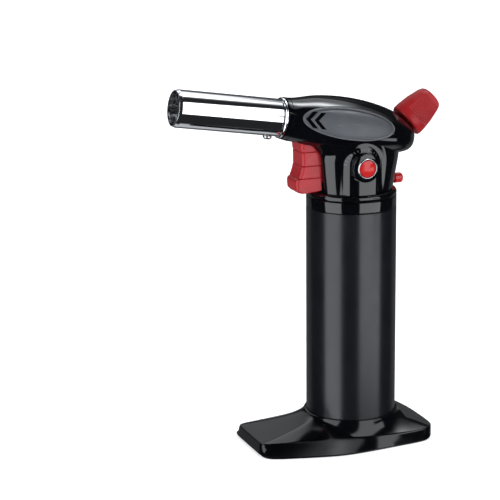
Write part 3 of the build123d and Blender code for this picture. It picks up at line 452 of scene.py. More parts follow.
gloss_black = shell_black("gloss_black")
stand_black = plastic(
    "stand_black", BLACK, 0.13, 1.42, grain=900.0, grain_depth=0.8e-6, wave=6e-6, wear_and_highlight=0.12,
    worn_and_highlight=(0.05, 0.05, 0.055),
)
# The strong, pale edge colour of the inlay paints a highlight along its raised bead.
inlay_grey = plastic(
    "inlay_grey", (0.072, 0.075, 0.084), 0.42, 1.42, grain=2600.0, grain_depth=6e-6, wear_and_highlight=0.8,
    worn_and_highlight=(0.22, 0.225, 0.24),
)
tank_black = plastic(
    "tank_black", (0.006, 0.0068, 0.009), 0.24, 1.46, grain=3200.0, grain_depth=5e-6, wear_and_highlight=0.2,
    worn_and_highlight=(0.03, 0.03, 0.032), rough_vary=0.12,
)
trigger_red = plastic(
    "trigger_red", (0.36, 0.012, 0.018), 0.36, 1.45, grain=2400.0, grain_depth=5e-6, wear_and_highlight=0.3
)
knob_red = plastic(
    "knob_red", (0.31, 0.004, 0.007), 0.42, 1.38, grain=2400.0, grain_depth=5e-6, wear_and_highlight=0.3
)
button_red = plastic(
    "button_red", (0.50, 0.012, 0.012), 0.2, 1.45, grain=1500.0, grain_depth=2e-6, wear_and_highlight=0.15
)
matte_black = plastic("matte_black", (0.02, 0.02, 0.021), 0.5, 1.5, grain=1800.0, grain_depth=9e-6)
nylon = plastic("nylon", (0.70, 0.69, 0.64), 0.42, 1.5, grain=1500.0, grain_depth=6e-6, vary=0.06)
rubber = plastic("rubber", (0.016, 0.016, 0.016), 0.62, 1.5, grain=1600.0, grain_depth=8e-6)
ceramic = plastic("ceramic", (0.80, 0.78, 0.71), 0.55, 1.5, grain=2600.0, grain_depth=6e-6, vary=0.05)
chrome = metal("chrome", (0.86, 0.87, 0.89), 0.055, scale=300.0, depth=0.6e-6, vary=0.02)
bezel_metal = metal("bezel_metal", (0.50, 0.51, 0.53), 0.16, scale=300.0, depth=1e-6, vary=0.03)
steel = metal("steel", (0.52, 0.52, 0.53), 0.30, (1, 1, 6), 900.0, 3e-6)
brass = metal("brass", (0.72, 0.53, 0.25), 0.26, (1, 1, 5), 900.0, 3e-6)
zinc = metal("zinc", (0.50, 0.51, 0.53), 0.42, scale=1500.0, depth=8e-6)

BY_SLOT = dict(
    gloss_black=gloss_black, matte_black=matte_black, tank_black=tank_black, inlay_grey=inlay_grey,
    trigger_red=trigger_red, knob_red=knob_red, button_red=button_red, chrome=chrome, brass=brass,
    steel=steel, zinc=zinc, rubber=rubber, nylon=nylon, ceramic=ceramic,
)
for part in frame["record"]["subparts"]:
    node = frame["nodes"][part["node"]]
    for material_slot in node.material_slots:
        material_slot.material = BY_SLOT[part["material_slot"]]

# ---- head forms


def head_width(u):
    if u < WIDEST_U:
        share = (u - HEAD_FRONT_U) / (WIDEST_U - HEAD_FRONT_U)
        return FRONT_R + (HEAD_HALF_W - FRONT_R) * sin(pi / 2 * share)
    share = min(0.99999, (u - WIDEST_U) / (HEAD_REAR_U + 0.3 - WIDEST_U))
    return HEAD_HALF_W * (1 - share**2.3) ** (1 / 2.3)


def head_heights(u):
    """Height of the widest line, of the top and of the keel at u."""
    share = (u - CROWN_U) / HEAD_HALF_L
    front = min(1.0, max(0.0, (u - HEAD_FRONT_U) / 18.0))
    ease = sin(pi / 2 * front)
    top = CROWN_V + CROWN_H * max(0.0, 1 - share**2) ** 0.5
    top = FRONT_R * (1 - ease) + top * ease
    keel = CROWN_V + (KEEL_V - CROWN_V) * max(0.0, 1 - abs(share) ** 3.6) ** (1 / 3.6)
    keel = -FRONT_R * (1 - ease) + keel * ease
    return CROWN_V * ease, top, keel


def bullet_rings(inset, first, last, count, around):
    rings = []
    for i in range(count + 1):
        u = first + (last - first) * (1 - cos(pi * i / count)) / 2
        wide_v, top, keel = head_heights(u)
        half_w = head_width(u) - inset
        ring = []
        for angle in circle(around):
            height = (top - wide_v) if sin(angle) >= 0 else (wide_v - keel)
            y = half_w * cos(angle)
            v = wide_v + (height - inset) * sin(angle)
            ring.append(BURNER_0 + AXIS_U * u + AXIS_Y * y + AXIS_V * v)
        rings.append(ring)
    return rings


def bullet_level(p):
    """Negative inside the head's bullet form, positive outside."""
    d = p - BURNER_0
    u, v = d.dot(AXIS_U), d.dot(AXIS_V)
    u = min(HEAD_REAR_U, max(HEAD_FRONT_U, u))
    wide_v, top, keel = head_heights(u)
    height = max(0.5, (top - wide_v) if v >= wide_v else (wide_v - keel))
    return (d.y / head_width(u)) ** 2 + ((v - wide_v) / height) ** 2 - 1


def level_normal(level, step=0.05):
    """Function that gives the normal of a level function's surface."""
    def find(p):
        grad = Vector(level(p + d * step) - level(p - d * step) for d in (ALONG_X, AXIS_Y, UP))
        return grad.normalized() if grad.length > 1e-9 else None

    return find


# Height, shift along X, and half-widths along X and Y.
NECK_LEVELS = (
    (128.9, 0.0, 20.5, 20.5),
    (136.0, 0.4, 21.5, 20.6),
    (144.0, 0.8, 22.7, 20.8),
    (149.0, 0.4, 23.7, 21.0),
    (156.0, -1.5, 27.2, 21.2),
)


def neck_at(z):
    """Shift and half-widths of the neck at z, by smooth interpolation."""
    z = min(NECK_LEVELS[-1][0], max(NECK_LEVELS[0][0], z))
    i = max(j for j in range(len(NECK_LEVELS) - 1) if NECK_LEVELS[j][0] <= z)
    a, b = NECK_LEVELS[i], NECK_LEVELS[i + 1]
    before = NECK_LEVELS[max(0, i - 1)]
    after = NECK_LEVELS[min(len(NECK_LEVELS) - 1, i + 2)]
    t = (z - a[0]) / (b[0] - a[0])
    out = []
    for c in (1, 2, 3):
        slope_a = (b[c] - before[c]) / (b[0] - before[0]) * (b[0] - a[0])
        slope_b = (after[c] - a[c]) / (after[0] - a[0]) * (b[0] - a[0])
        h = (2 * t**3 - 3 * t**2 + 1) * a[c] + (t**3 - 2 * t**2 + t) * slope_a
        h += (3 * t**2 - 2 * t**3) * b[c] + (t**3 - t**2) * slope_b
        out.append(h)
    return out


# The raised panel about the dial, and the hollow round it, by distance in from the panel's edge.
ARCH_HALF_W, ARCH_TOP = 9.2, 153.3
ARCH_SOFT = 3.2
ARCH_PROUD = 0.65
HOLLOW_DEPTH, HOLLOW_NEAR, HOLLOW_FAR = 0.5, -1.0, -4.6


def arch_inside(x, z):
    """Distance inside the round-topped panel about the dial, positive within it."""
    dx = abs(x - DIAL_X)
    springing = ARCH_TOP - ARCH_HALF_W
    if z < springing:
        return ARCH_HALF_W - dx
    return ARCH_HALF_W - hypot(dx, z - springing)


def neck_point(theta, z):
    """Point of the neck's outer surface: the ellipse, the raised arch panels and the hollow round them."""
    shift, half_x, half_y = neck_at(z)
    x, y = half_x * cos(theta), half_y * sin(theta)
    n = Vector((cos(theta) / half_x, sin(theta) / half_y, 0)).normalized()
    inside = arch_inside(x + shift, z)
    rise = (ARCH_PROUD + HOLLOW_DEPTH) * smoothstep(-0.2, ARCH_SOFT, inside)
    rise -= HOLLOW_DEPTH * smoothstep(HOLLOW_FAR, HOLLOW_NEAR, inside)
    return Vector((x + shift, y, z)) + n * rise


def neck_normal(p):
    z = min(155.9, max(NECK_BOTTOM + 0.05, p.z))
    shift, half_x, half_y = neck_at(z)
    theta = atan2(p.y / half_y, (p.x - shift) / half_x)
    along = neck_point(theta + 0.004, z) - neck_point(theta - 0.004, z)
    up = neck_point(theta, z + 0.05) - neck_point(theta, z - 0.05)
    return along.cross(up).normalized()


def neck_solid(name, inset, low, high, count, around, index):
    rings = []
    for i in range(count + 1):
        z = low + (high - low) * i / count
        if inset:
            shift, half_x, half_y = neck_at(z)
            a, b = half_x - inset, half_y - inset
            rings.append([Vector((shift + a * cos(t), b * sin(t), z)) for t in circle(around)])
        else:
            rings.append([neck_point(t, z) for t in circle(around)])
    return ring_solid(name, rings, index)


def oval(a, b, count):
    """Outline of an inlay with these half-lengths, in the plane of symmetry."""
    return [(INLAY_U + a * cos(t), INLAY_V + b * sin(t)) for t in circle(count)]


def on_side(u, v):
    """Point of the plane of symmetry, along and above the burner's axis."""
    return BURNER_0 + AXIS_U * u + AXIS_V * v


def cheek_round(side):
    """Cutter that rounds the vertical edge of the trigger's opening on one side."""
    rings = []
    w = OPENING_HALF_W
    steps = 10
    for i in range(25):
        z = 128.5 + (153.4 - 128.5) * i / 24
        r = 1.5 - 0.9 * smoothstep(148.0, 153.4, z)
        shift, half_x, half_y = neck_at(z)
        in_x, in_y = half_x - r, half_y - r
        cy = w + r
        cx = shift - in_x * sqrt(max(0.0, 1 - (cy / in_y) ** 2))
        n = Vector(((cx - shift) / in_x**2, cy / in_y**2)).normalized()
        end = atan2(n.y, n.x)
        start = -pi / 2 + 2 * pi if end > 0 else -pi / 2
        angles = [start + (end - start) * s / steps for s in range(steps + 1)]
        section = [(cx + r * cos(a), cy + r * sin(a)) for a in angles]
        section.append((cx + (r + 5) * n.x, cy + (r + 5) * n.y))
        section += [(cx - 14, cy + 4), (cx - 14, w - 0.6), (cx, w - 0.6)]
        rings.append([Vector((x, side * y, z)) for x, y in section])
    return ring_solid("cheek", rings, SEAT)


def build_head():
    """Both halves of the head in one, hollow, without the CAD's screw bosses, screw holes and snap lip."""
    under_cad = 0.03
    neck_top = 155.6
    head = ring_solid("head", bullet_rings(under_cad, HEAD_FRONT_U, HEAD_REAR_U, 110, 200), SKIN)
    union(
        head,
        neck_solid("neck", 0, NECK_BOTTOM, neck_top, 90, 360, SECOND),
        rod("spigot", UP * (SPIGOT_BOTTOM + 2.2), UP, 19.5, 7.8, 128),
    )
    cut(head, ring_solid("hollow", bullet_rings(WALL, -27.0, HEAD_REAR_U - WALL, 40, 96), INSIDE))
    cut(head, neck_solid("bore", 2.2, NECK_BOTTOM - 2.0, 155.0, 20, 96, INSIDE))
    ledge = KNOB_0 + KNOB_AXIS * -0.3
    place = lambda a, b: ledge + AXIS_Y * a + KNOB_UP * b
    cut(head, prism("ledge", [(-40, -30), (40, -30), (40, 30), (-40, 30)], place, KNOB_AXIS, 40))
    union(head, rod("closing", KNOB_0 + KNOB_AXIS * (-0.35 - WALL), KNOB_AXIS, 6.0, WALL))
    cut(
        head,
        rod("spindle_hole", KNOB_0 + KNOB_AXIS * -11, KNOB_AXIS, 3.0, 14),
        rod("tube_socket", BURNER_0 - AXIS_U * 26, -AXIS_U, SPIGOT_R + FIT, 20, 128),
        rod("hub_bore", UP * SPIGOT_BOTTOM, UP, PLUG_HUB_R + 0.1, 7.1, 128),
        block("mouth", (-41.0, -OPENING_HALF_W, 129.05), (-11.0, OPENING_HALF_W, 155.1)),
        cheek_round(-1),
        cheek_round(1),
        rod("dial_seat", DIAL_0 + Vector((0, -20.0, 0)), -AXIS_Y, DIAL_R + 0.3, 10, 96),
        rod("dial_hole", DIAL_0 + Vector((0, -10.0, 0)), -AXIS_Y, 5.5 + FIT, 12, 96),
        rod("pin_hole", Vector((10, 0, PIN_Z)), ALONG_X, PIN_SHAFT_R + FIT, 20, 48),
    )
    return head


def recess_tool(side):
    """Cutter for the oval's seat: the oval bar without the head's core."""
    gap = 0.15
    start = AXIS_Y * (side * 6.0)
    outline = oval(INLAY_A + gap, INLAY_B + gap, 144)
    bar = prism("bar", outline, lambda a, b: on_side(a, b) + start, AXIS_Y * side, 30, SEAT)
    core = ring_solid("core", bullet_rings(RECESS, HEAD_FRONT_U + 0.5, HEAD_REAR_U - RECESS, 60, 160), SEAT)
    return cut(bar, core)


def front_groove():
    """Cutter for the fine groove round the head, behind its front edge."""
    behind_edge, width, depth = 1.6, 0.4, 0.3
    ring = rod("groove", BURNER_0 + AXIS_U * (HEAD_FRONT_U + behind_edge), AXIS_U, 14.0, width, 200)
    rings = bullet_rings(depth, HEAD_FRONT_U + 0.2, HEAD_REAR_U - depth, 110, 200)
    return cut(ring, ring_solid("groove_core", rings, SEAT))


def dial_marks(n, paint):
    """Scale of pale ticks printed round the dial over the paint, from nine to two o'clock."""
    near, far_edge, first, last, every, tick = 0.0080, 0.0090, 38.0, 182.0, 12.0, (0.06, 0.063, 0.07)
    op = n.op
    split = n.new("ShaderNodeSeparateXYZ")
    n.link(n.place, split.inputs[0])

    def inside(value, low, high):
        return op("MULTIPLY", op("GREATER_THAN", value, low), op("LESS_THAN", value, high))

    x = op("SUBTRACT", split.outputs["X"], DIAL_X * 0.001)
    z = op("SUBTRACT", split.outputs["Z"], DIAL_Z * 0.001)
    far = op("SQRT", op("ADD", op("MULTIPLY", x, x), op("MULTIPLY", z, z)))
    angle = op("MULTIPLY", op("ARCTAN2", z, x), 180 / pi)
    ticks = op("GREATER_THAN", op("SINE", op("MULTIPLY", angle, 2 * pi / every)), 0.6)
    mark = op("MULTIPLY", inside(far, near, far_edge), inside(angle, first, last))
    mark = op("MULTIPLY", op("MULTIPLY", mark, ticks), op("LESS_THAN", split.outputs["Y"], -0.015))
    return n.mix_colour(mark, paint, tick)


bullet_normal = level_normal(bullet_level)
whole_head = build_head()
for side in (-1, 1):
    cut(whole_head, recess_tool(side))
cut(whole_head, front_groove())
marked_black = shell_black("marked_black", dial_marks)
for name, side in (("head_right", -1), ("head_left", 1)):
    half = whole_head.copy()
    half.data = whole_head.data.copy()
    half.name = f"shell_{name}"
    in_scene(half)
    keep_side(half, Vector((0, 0.03 * side, 0)), AXIS_Y * side)
    sharpen(half)
    exact_normals(half, {SKIN: bullet_normal, SECOND: neck_normal})
    finish_piece(half, marked_black if side < 0 else gloss_black, "torch", name, slot="gloss_black")
drop(whole_head)

# ---- stand
# Sides of the outline at the base and at the rim: the way each faces, in degrees, and its distance.
STAND_BASE = ((180, 55.8), (104.8, 35.6), (83.1, 30.5), (27.9, 41.6), (0, 39.8))
STAND_RIM = ((180, 55.0), (99.9, 26.0), (81.4, 29.7), (29.0, 41.2), (0, 38.9))
PLAN_ROUNDING = 30
RISE_POWER = 1.9
STAND_FOOT_H, STAND_FOOT_INSET = 1.2, 1.0
STAND_REAR_X, STAND_REAR_H, STAND_REAR_SLOPE = 39.6, 4.4, 0.37
COVER_SCREWS = ((-44.0, -10.0), (-44.0, 10.0), (32.0, -9.0), (32.0, 9.0))


def plan_radius(sides, angle, rounding=PLAN_ROUNDING):
    """Distance from the tank axis to the stand's edge: a polygon's sides, rounded where they meet."""
    total = 0
    for face, distance in sides:
        reach = cos(radians(face)) * cos(angle) + sin(radians(face)) * abs(sin(angle))
        if reach > 0:
            total += (reach / distance) ** rounding
    return total ** (-1 / rounding)


def plan_polygon(inset):
    """Straight-sided outline under the stand, set in from the sides of its rim."""
    corners = []
    for (face, distance), (other, reach) in zip(STAND_RIM, STAND_RIM[1:]):
        f, o = radians(face), radians(other)
        first, second = distance - inset, reach - inset
        x = (first * sin(o) - second * sin(f)) / sin(o - f)
        corners.append((x, (second * cos(f) - first * cos(o)) / sin(o - f)))
    return corners + [(x, -y) for x, y in reversed(corners)]


def build_stand():
    """Foot, leaning wall, soft rim and rise to the collar, with the sloping facet behind the tank."""
    around = 480
    rim_soft, collar_soft = 0.7, 0.4
    base_rounding = 17
    columns = []
    for k in range(around):
        angle = 2 * pi * (k + 0.5) / around
        base, rim = plan_radius(STAND_BASE, angle, base_rounding), plan_radius(STAND_RIM, angle)
        column = [(base - STAND_FOOT_INSET, 0.0)]
        column += [(base - STAND_FOOT_INSET * 0.25, STAND_FOOT_H * 0.55), (base, STAND_FOOT_H)]
        slope = (rim - base) / (STAND_WALL_H - STAND_FOOT_H)
        for i in range(1, 6):
            z = STAND_FOOT_H + (STAND_WALL_H - rim_soft - STAND_FOOT_H) * i / 5
            column.append((base + slope * (z - STAND_FOOT_H), z))
        rise_h = STAND_COLLAR_H - STAND_WALL_H
        run = rim - STAND_COLLAR_R
        first = min(0.05, rim_soft / (run * RISE_POWER))
        start = Vector(column[-1])
        corner = Vector((rim, STAND_WALL_H))
        end = Vector((STAND_COLLAR_R + run * (1 - first) ** RISE_POWER, STAND_WALL_H + rise_h * first))
        for i in range(1, 6):
            t = i / 5
            p = start * (1 - t) ** 2 + corner * 2 * t * (1 - t) + end * t * t
            column.append((p.x, p.y))
        last = 1 - collar_soft / rise_h
        for i in range(1, 31):
            share = first + (last - first) * i / 30
            column.append((STAND_COLLAR_R + run * (1 - share) ** RISE_POWER, STAND_WALL_H + rise_h * share))
        column.append((STAND_COLLAR_R - 0.12, STAND_COLLAR_H - 0.12))
        column.append((STAND_COLLAR_R - collar_soft, STAND_COLLAR_H))
        columns.append([Vector((r * cos(angle), r * sin(angle), z)) for r, z in column])
    rings = [[column[i] for column in columns] for i in range(len(columns[0]))]
    stand = ring_solid("stand_body", rings)
    near = STAND_COLLAR_R + 0.05
    rear_top = STAND_REAR_H + STAND_REAR_SLOPE * (STAND_REAR_X - near)
    far = STAND_REAR_X + 4
    facet = [(near, rear_top), (far, STAND_REAR_H - 4 * STAND_REAR_SLOPE), (far, 20), (near, 20)]
    flat = lambda z: lambda a, b: Vector((a, b, z))
    cavity = prism("cavity", plan_polygon(3.4), flat(1.95), UP, 2.95)
    cut(cavity, rod("cavity_core", Vector((0, 0, 0)), UP, SOCKET_R + 2.4, 9, 160))
    for x, y in COVER_SCREWS:
        cut(cavity, rod("cavity_boss", Vector((x, y, 0)), UP, 3.4, 9, 48))
    cut(
        stand,
        prism("facet", facet, lambda a, b: Vector((a, -40, b)), AXIS_Y, 80, SECOND),
        prism("recess", plan_polygon(1.2), flat(-1), UP, 3.0),
        cavity,
        rod("socket", Vector((0, 0, 3.0)), UP, SOCKET_R, 20, 240),
        rod("access", Vector((0, 0, -1)), UP, 10.0, 6, 96),
    )
    for x, y in COVER_SCREWS:
        cut(stand, rod("screw_hole", Vector((x, y, -1)), UP, 1.3, 6.6, 32))
    slope_normal = Vector((STAND_REAR_SLOPE, 0, 1)).normalized()
    sharpen(stand)
    exact_normals(stand, {SECOND: lambda p: slope_normal})
    return finish_piece(stand, stand_black, "torch", "stand", slot="gloss_black")


build_stand()

# ---- inlays
CHEVRON_H, CHEVRON_LEAN, CHEVRON_T, CHEVRON_U = 7.6, 3.6, 2.4, (-30.0, -26.2)
# Distance in from the oval's edge and depth under the head's surface, from the back edge to the field.
INLAY_RIM = (
    (0.05, 1.05), (0.0, 0.95), (0.0, 0.25), (0.1, 0.05), (0.3, -0.1), (0.55, -0.12), (0.8, 0.02), (0.95, 0.3),
    (1.1, 0.5), (1.35, 0.56), (1.7, 0.5), (2.1, 0.38), (2.6, 0.3),
)


def side_surface(u, v, inset):
    """Distance of the head's side from the plane of symmetry, under its skin by the inset."""
    wide_v, top, keel = head_heights(u)
    height = ((top - wide_v) if v >= wide_v else (wide_v - keel)) - inset
    return (head_width(u) - inset) * sqrt(max(0.0, 1 - ((v - wide_v) / height) ** 2))


def inlay_ring(side, a, b, inset):
    """Oval ring on the head's side, under its skin by the inset."""
    return [on_side(u, v) + AXIS_Y * side * side_surface(u, v, inset) for u, v in oval(a, b, 240)]


def build_inlay(side, node):
    """Oval plate with a raised bead along its edge and two chevrons cut through its field."""
    fields = 16
    deep = RECESS - 0.05
    rings = []
    for i in range(fields):
        share = (i + 0.3) / fields
        rings.append(inlay_ring(side, INLAY_A * share, INLAY_B * share, deep))
    for inwards, inset in INLAY_RIM:
        rings.append(inlay_ring(side, INLAY_A - inwards, INLAY_B - inwards, inset))
    last_in, last_inset = INLAY_RIM[-1]
    for i in range(1, fields):
        share = 1 - i / fields
        a, b = (INLAY_A - last_in) * share, (INLAY_B - last_in) * share
        rings.append(inlay_ring(side, a, b, last_inset))
    obj = ring_solid(f"{node}_skin", rings)
    half = CHEVRON_H / 2
    for tip in CHEVRON_U:
        end = tip + CHEVRON_LEAN
        outline = [
            (tip, 0), (end, half), (end + CHEVRON_T, half), (tip + CHEVRON_T, 0), (end + CHEVRON_T, -half),
            (end, -half),
        ]
        place = lambda a, b: on_side(a, INLAY_V + b) + AXIS_Y * side * 4
        cut(obj, prism("chevron", outline, place, AXIS_Y * side, 30))
    sharpen(obj, 40)
    return finish_piece(obj, inlay_grey, "torch", node, slot="inlay_grey")


build_inlay(-1, "inlay_right")
build_inlay(1, "inlay_left")

# ---- turned pieces


def soft(profile, radius):
    """Profile with its corners rounded, apart from those on the axis."""
    return rounded(profile, [0 if r < 1e-6 else radius for r, _ in profile])


def arc(a, b, c, steps=10):
    """Points of the circle through a, b and c, from a to c."""
    a, b, c = complex(*a), complex(*b), complex(*c)
    w = (c - a) / (b - a)
    centre = a + (b - a) * (w - abs(w) ** 2) / (2j * w.imag)
    turn = phase((c - centre) / (a - centre))
    points = [centre + (a - centre) * rect(1, turn * i / steps) for i in range(steps + 1)]
    return [(p.real, p.imag) for p in points]


def turned(name, node, material, body, origin, along, profile, around, slot, *tools):
    obj = lathe(name, origin, along, across_from(along), profile, around)
    cut(obj, *tools)
    sharpen(obj)
    return finish_piece(obj, material, body, node, slot=slot)


# Profiles are loops of (radius, distance along the axis).
TANK_FLOOR, TANK_WALL, FILL_BORE = 3.0, 1.4, 4.05
tank_bore = TANK_R - TANK_WALL
tank_profile = [
    (FILL_BORE, TANK_FLOOR), (TANK_R - 1, TANK_FLOOR), (TANK_R, TANK_FLOOR + 1), (TANK_R, TANK_TOP),
    (tank_bore, TANK_TOP), (tank_bore, TANK_FLOOR + 2), (FILL_BORE, TANK_FLOOR + 2),
]
COLLAR_BORE = 19.6
band_low = TANK_TOP + 0.15
band_profile = [(COLLAR_BORE, band_low), (TANK_R, band_low), (TANK_R, BAND_TOP), (COLLAR_BORE, BAND_TOP)]
ring_low, ring_high = BAND_TOP + 0.35, RING_TOP - 0.1
ring_shoulder = arc((22.55, 127.0), (21.95, 128.25), (20.5, ring_high), 14)
ring_profile = [(COLLAR_BORE, ring_low), (22.3, ring_low), (22.42, ring_low + 0.15)]
ring_profile += ring_shoulder + [(COLLAR_BORE, ring_high)]
TUBE_START_S, TUBE_GAP = 28.0, 0.7
tube_bore, neck_bore = TUBE_R - TUBE_WALL, SPIGOT_R - 0.9
tube_profile = [
    (neck_bore, TUBE_START_S), (SPIGOT_R, TUBE_START_S), (SPIGOT_R, SHOULDER_S + TUBE_GAP),
    (TUBE_R, SHOULDER_S + TUBE_GAP), (TUBE_R, MOUTH_S - 1.6), (TUBE_R - 0.55, MOUTH_S),
    (TUBE_R - 1, MOUTH_S), (tube_bore, MOUTH_S - 1.4), (tube_bore, SHOULDER_S + 1.2), (neck_bore, SHOULDER_S),
]
SCREW_0 = BURNER_0 - AXIS_U * 43.6
BEAD_BORE, BEAD_R, BEAD_FOOT_R, BEAD_S = 8.55, 10.05, 9.4, (37.5, 38.35, 39.2)
bead = arc((BEAD_FOOT_R, BEAD_S[0]), (BEAD_R, BEAD_S[1]), (BEAD_FOOT_R, BEAD_S[2]), 14)
bead_profile = [(BEAD_BORE, BEAD_S[0])] + bead + [(BEAD_BORE, BEAD_S[2])]
slot_tool = prism(
    "slot_tool", [(-3, -0.3), (3, -0.3), (3, 0.3), (-3, 0.3)],
    lambda a, b: SCREW_0 - AXIS_V * 10.3 + AXIS_U * a + AXIS_Y * b, -AXIS_V, 2,
)
screw_profile = [(0, 5.4), (1.2, 5.4), (1.2, 9.3), (2.2, 9.3), (2.2, 10.1), (1.5, 10.9), (0, 11.0)]
DIAL_BORE = BUTTON_R + 0.1
dial_edge = arc((DIAL_R, 24.1), (6.94, 24.3), (6.75, 24.46), 6)
dial_profile = [(DIAL_BORE, 17.0), (5.5, 17.0), (5.5, 20.15), (6.8, 20.15), (DIAL_R, 20.35)] + dial_edge
dial_profile += [(5.2, 25.28), (5.08, 25.28), (5.0, 25.15), (5.0, 24.0), (DIAL_BORE, 24.0)]
bezel_profile = [(4.25, 24.05), (4.95, 24.05), (4.95, 25.4), (4.7, 25.7), (4.5, 25.7), (4.25, 25.4)]
button_profile = [(0, 8.5), (1.5, 8.5), (1.5, 9.9), (1.1, 9.9), (1.1, 10.5), (1.5, 10.5), (1.5, 21.2)]
button_profile += [(BUTTON_R, 21.2), (BUTTON_R, 25.6)] + arc((4.0, 25.82), (2.1, 26.42), (0.0, 26.6), 12)
pin_profile = [
    (0, 8.6), (1.5, 8.6), (1.5, 16.6), (3.1, 16.6), (3.1, 17.6), (PIN_SHAFT_R, 17.6), (PIN_SHAFT_R, 23.1),
    (PIN_R, 23.1), (PIN_R, 26.8), (PIN_R - 0.7, 27.5), (0, 27.5),
]
for row in (
    ("tank_tube", "tank_shell", tank_black, "torch", Vector(), UP, soft(tank_profile, 0.3), 256,
     "tank_black"),
    ("band", "collar_band", gloss_black, "torch", Vector(), UP, soft(band_profile, 0.4), 256, "gloss_black"),
    ("ring", "collar_ring", gloss_black, "torch", Vector(), UP, ring_profile, 256, "gloss_black"),
    ("burner_barrel", "burner_tube", chrome, "torch", BURNER_0, -AXIS_U, soft(tube_profile, 0.12), 256,
     "chrome", rod("screw_bore", SCREW_0 - AXIS_V * 4, -AXIS_V, 1.3, 8, 48)),
    ("burner_collar", "burner_ring", chrome, "torch", BURNER_0, -AXIS_U, bead_profile, 256, "chrome"),
    ("burner_bolt", "burner_screw", steel, "torch", SCREW_0, -AXIS_V, soft(screw_profile, 0.12), 64, "steel",
     slot_tool),
    ("dial", "lock_dial", gloss_black, "dial", DIAL_0, -AXIS_Y, dial_profile, 192, "gloss_black"),
    ("bezel", "dial_bezel", bezel_metal, "dial", DIAL_0, -AXIS_Y, soft(bezel_profile, 0.1), 192, "chrome"),
    ("button", "lock_button", button_red, "button", DIAL_0, -AXIS_Y, button_profile, 192, "button_red"),
    ("pin", "safety_pin", button_red, "safety_pin", UP * PIN_Z, ALONG_X, soft(pin_profile, 0.25), 96,
     "button_red"),
):
    turned(*row)

# ---- gas knob
# Distance along the knob's axis, and radius there.
KNOB_PROFILE = (
    (0.15, 8.3), (0.5, 8.75), (1.2, 9.0), (4.0, 9.0), (9.5, 8.4), (15.5, 7.1), (17.2, 6.5), (18.0, 6.0),
    (18.6, 5.2), (18.9, 4.4), (19.1, 2.5), (19.2, 0.6),
)
KNOB_FLAT, KNOB_SHOULDER = 5.6, 4.6


def between(table, x):
    """Straight-line value of a table of (x, y) at x."""
    for (x0, y0), (x1, y1) in zip(table, table[1:]):
        if x <= x1:
            return y0 + (y1 - y0) * max(0.0, (x - x0) / (x1 - x0))
    return table[-1][1]


def build_knob():
    """Round knob with two flats that close towards its end, each with fine ribs."""
    around = 560
    rib_depth, flat_lean = 0.3, radians(4)
    first, round_from = KNOB_PROFILE[0][0], 18.6
    levels = [first + (round_from - first) * i / 70 for i in range(71)]
    levels += [18.75, 18.9, 19.0, 19.1, 19.2]
    rings = []
    for h in levels:
        radius = between(KNOB_PROFILE, h)
        flat = KNOB_FLAT - tan(flat_lean) * (h - KNOB_SHOULDER)
        closing = smoothstep(KNOB_SHOULDER - 0.5, KNOB_SHOULDER + 0.6, h)
        limit = radius * (1 - closing) + flat * closing
        ribbed = smoothstep(5.6, 6.2, h) * (1 - smoothstep(16.0, 16.6, h))
        ring = []
        for angle in circle(around):
            a, b = radius * cos(angle), radius * sin(angle)
            over = abs(a) - limit
            if over > 0:
                groove = smoothstep(0.05, 0.6, sin(2 * pi * (b + 0.25)))
                fade = ribbed * smoothstep(0.0, 0.5, over) * (1 - smoothstep(5.6, 6.2, abs(b)))
                a = copysign(limit - rib_depth * groove * fade, a)
            ring.append(KNOB_0 + KNOB_AXIS * h + AXIS_Y * a + KNOB_UP * b)
        rings.append(ring)
    obj = ring_solid("knob_grip", rings)
    cut(obj, rod("knob_bore", KNOB_0 + KNOB_AXIS * -1, KNOB_AXIS, 1.82, 10.1, 64))
    cut(obj, rod("knob_counterbore", KNOB_0 + KNOB_AXIS * -1, KNOB_AXIS, 2.42, 2.02, 64))
    sharpen(obj, 36)
    return finish_piece(obj, knob_red, "knob", "valve_knob", slot="knob_red")


build_knob()

# ---- trigger
TRIGGER_LOW, TRIGGER_HIGH = 130.7, 153.9
# Height, and X of the trigger's front there.
TRIGGER_FRONT = (
    (TRIGGER_LOW, -31.9), (132.5, -32.15), (134.6, -32.2), (135.6, -31.95), (136.4, -30.95), (138.0, -30.2),
    (140.5, -29.4), (143.0, -28.95), (146.0, -28.95), (149.3, -29.1), (TRIGGER_HIGH, -29.7),
)
TRIGGER_GROOVES = (149.45, 142.55, 136.45)
GROOVE_DEPTH, GROOVE_HALF_W = 0.42, 0.32
TRIGGER_HALF_W, TRIGGER_REAR, TRIGGER_ROUND = 7.0, -19.0, 1.9


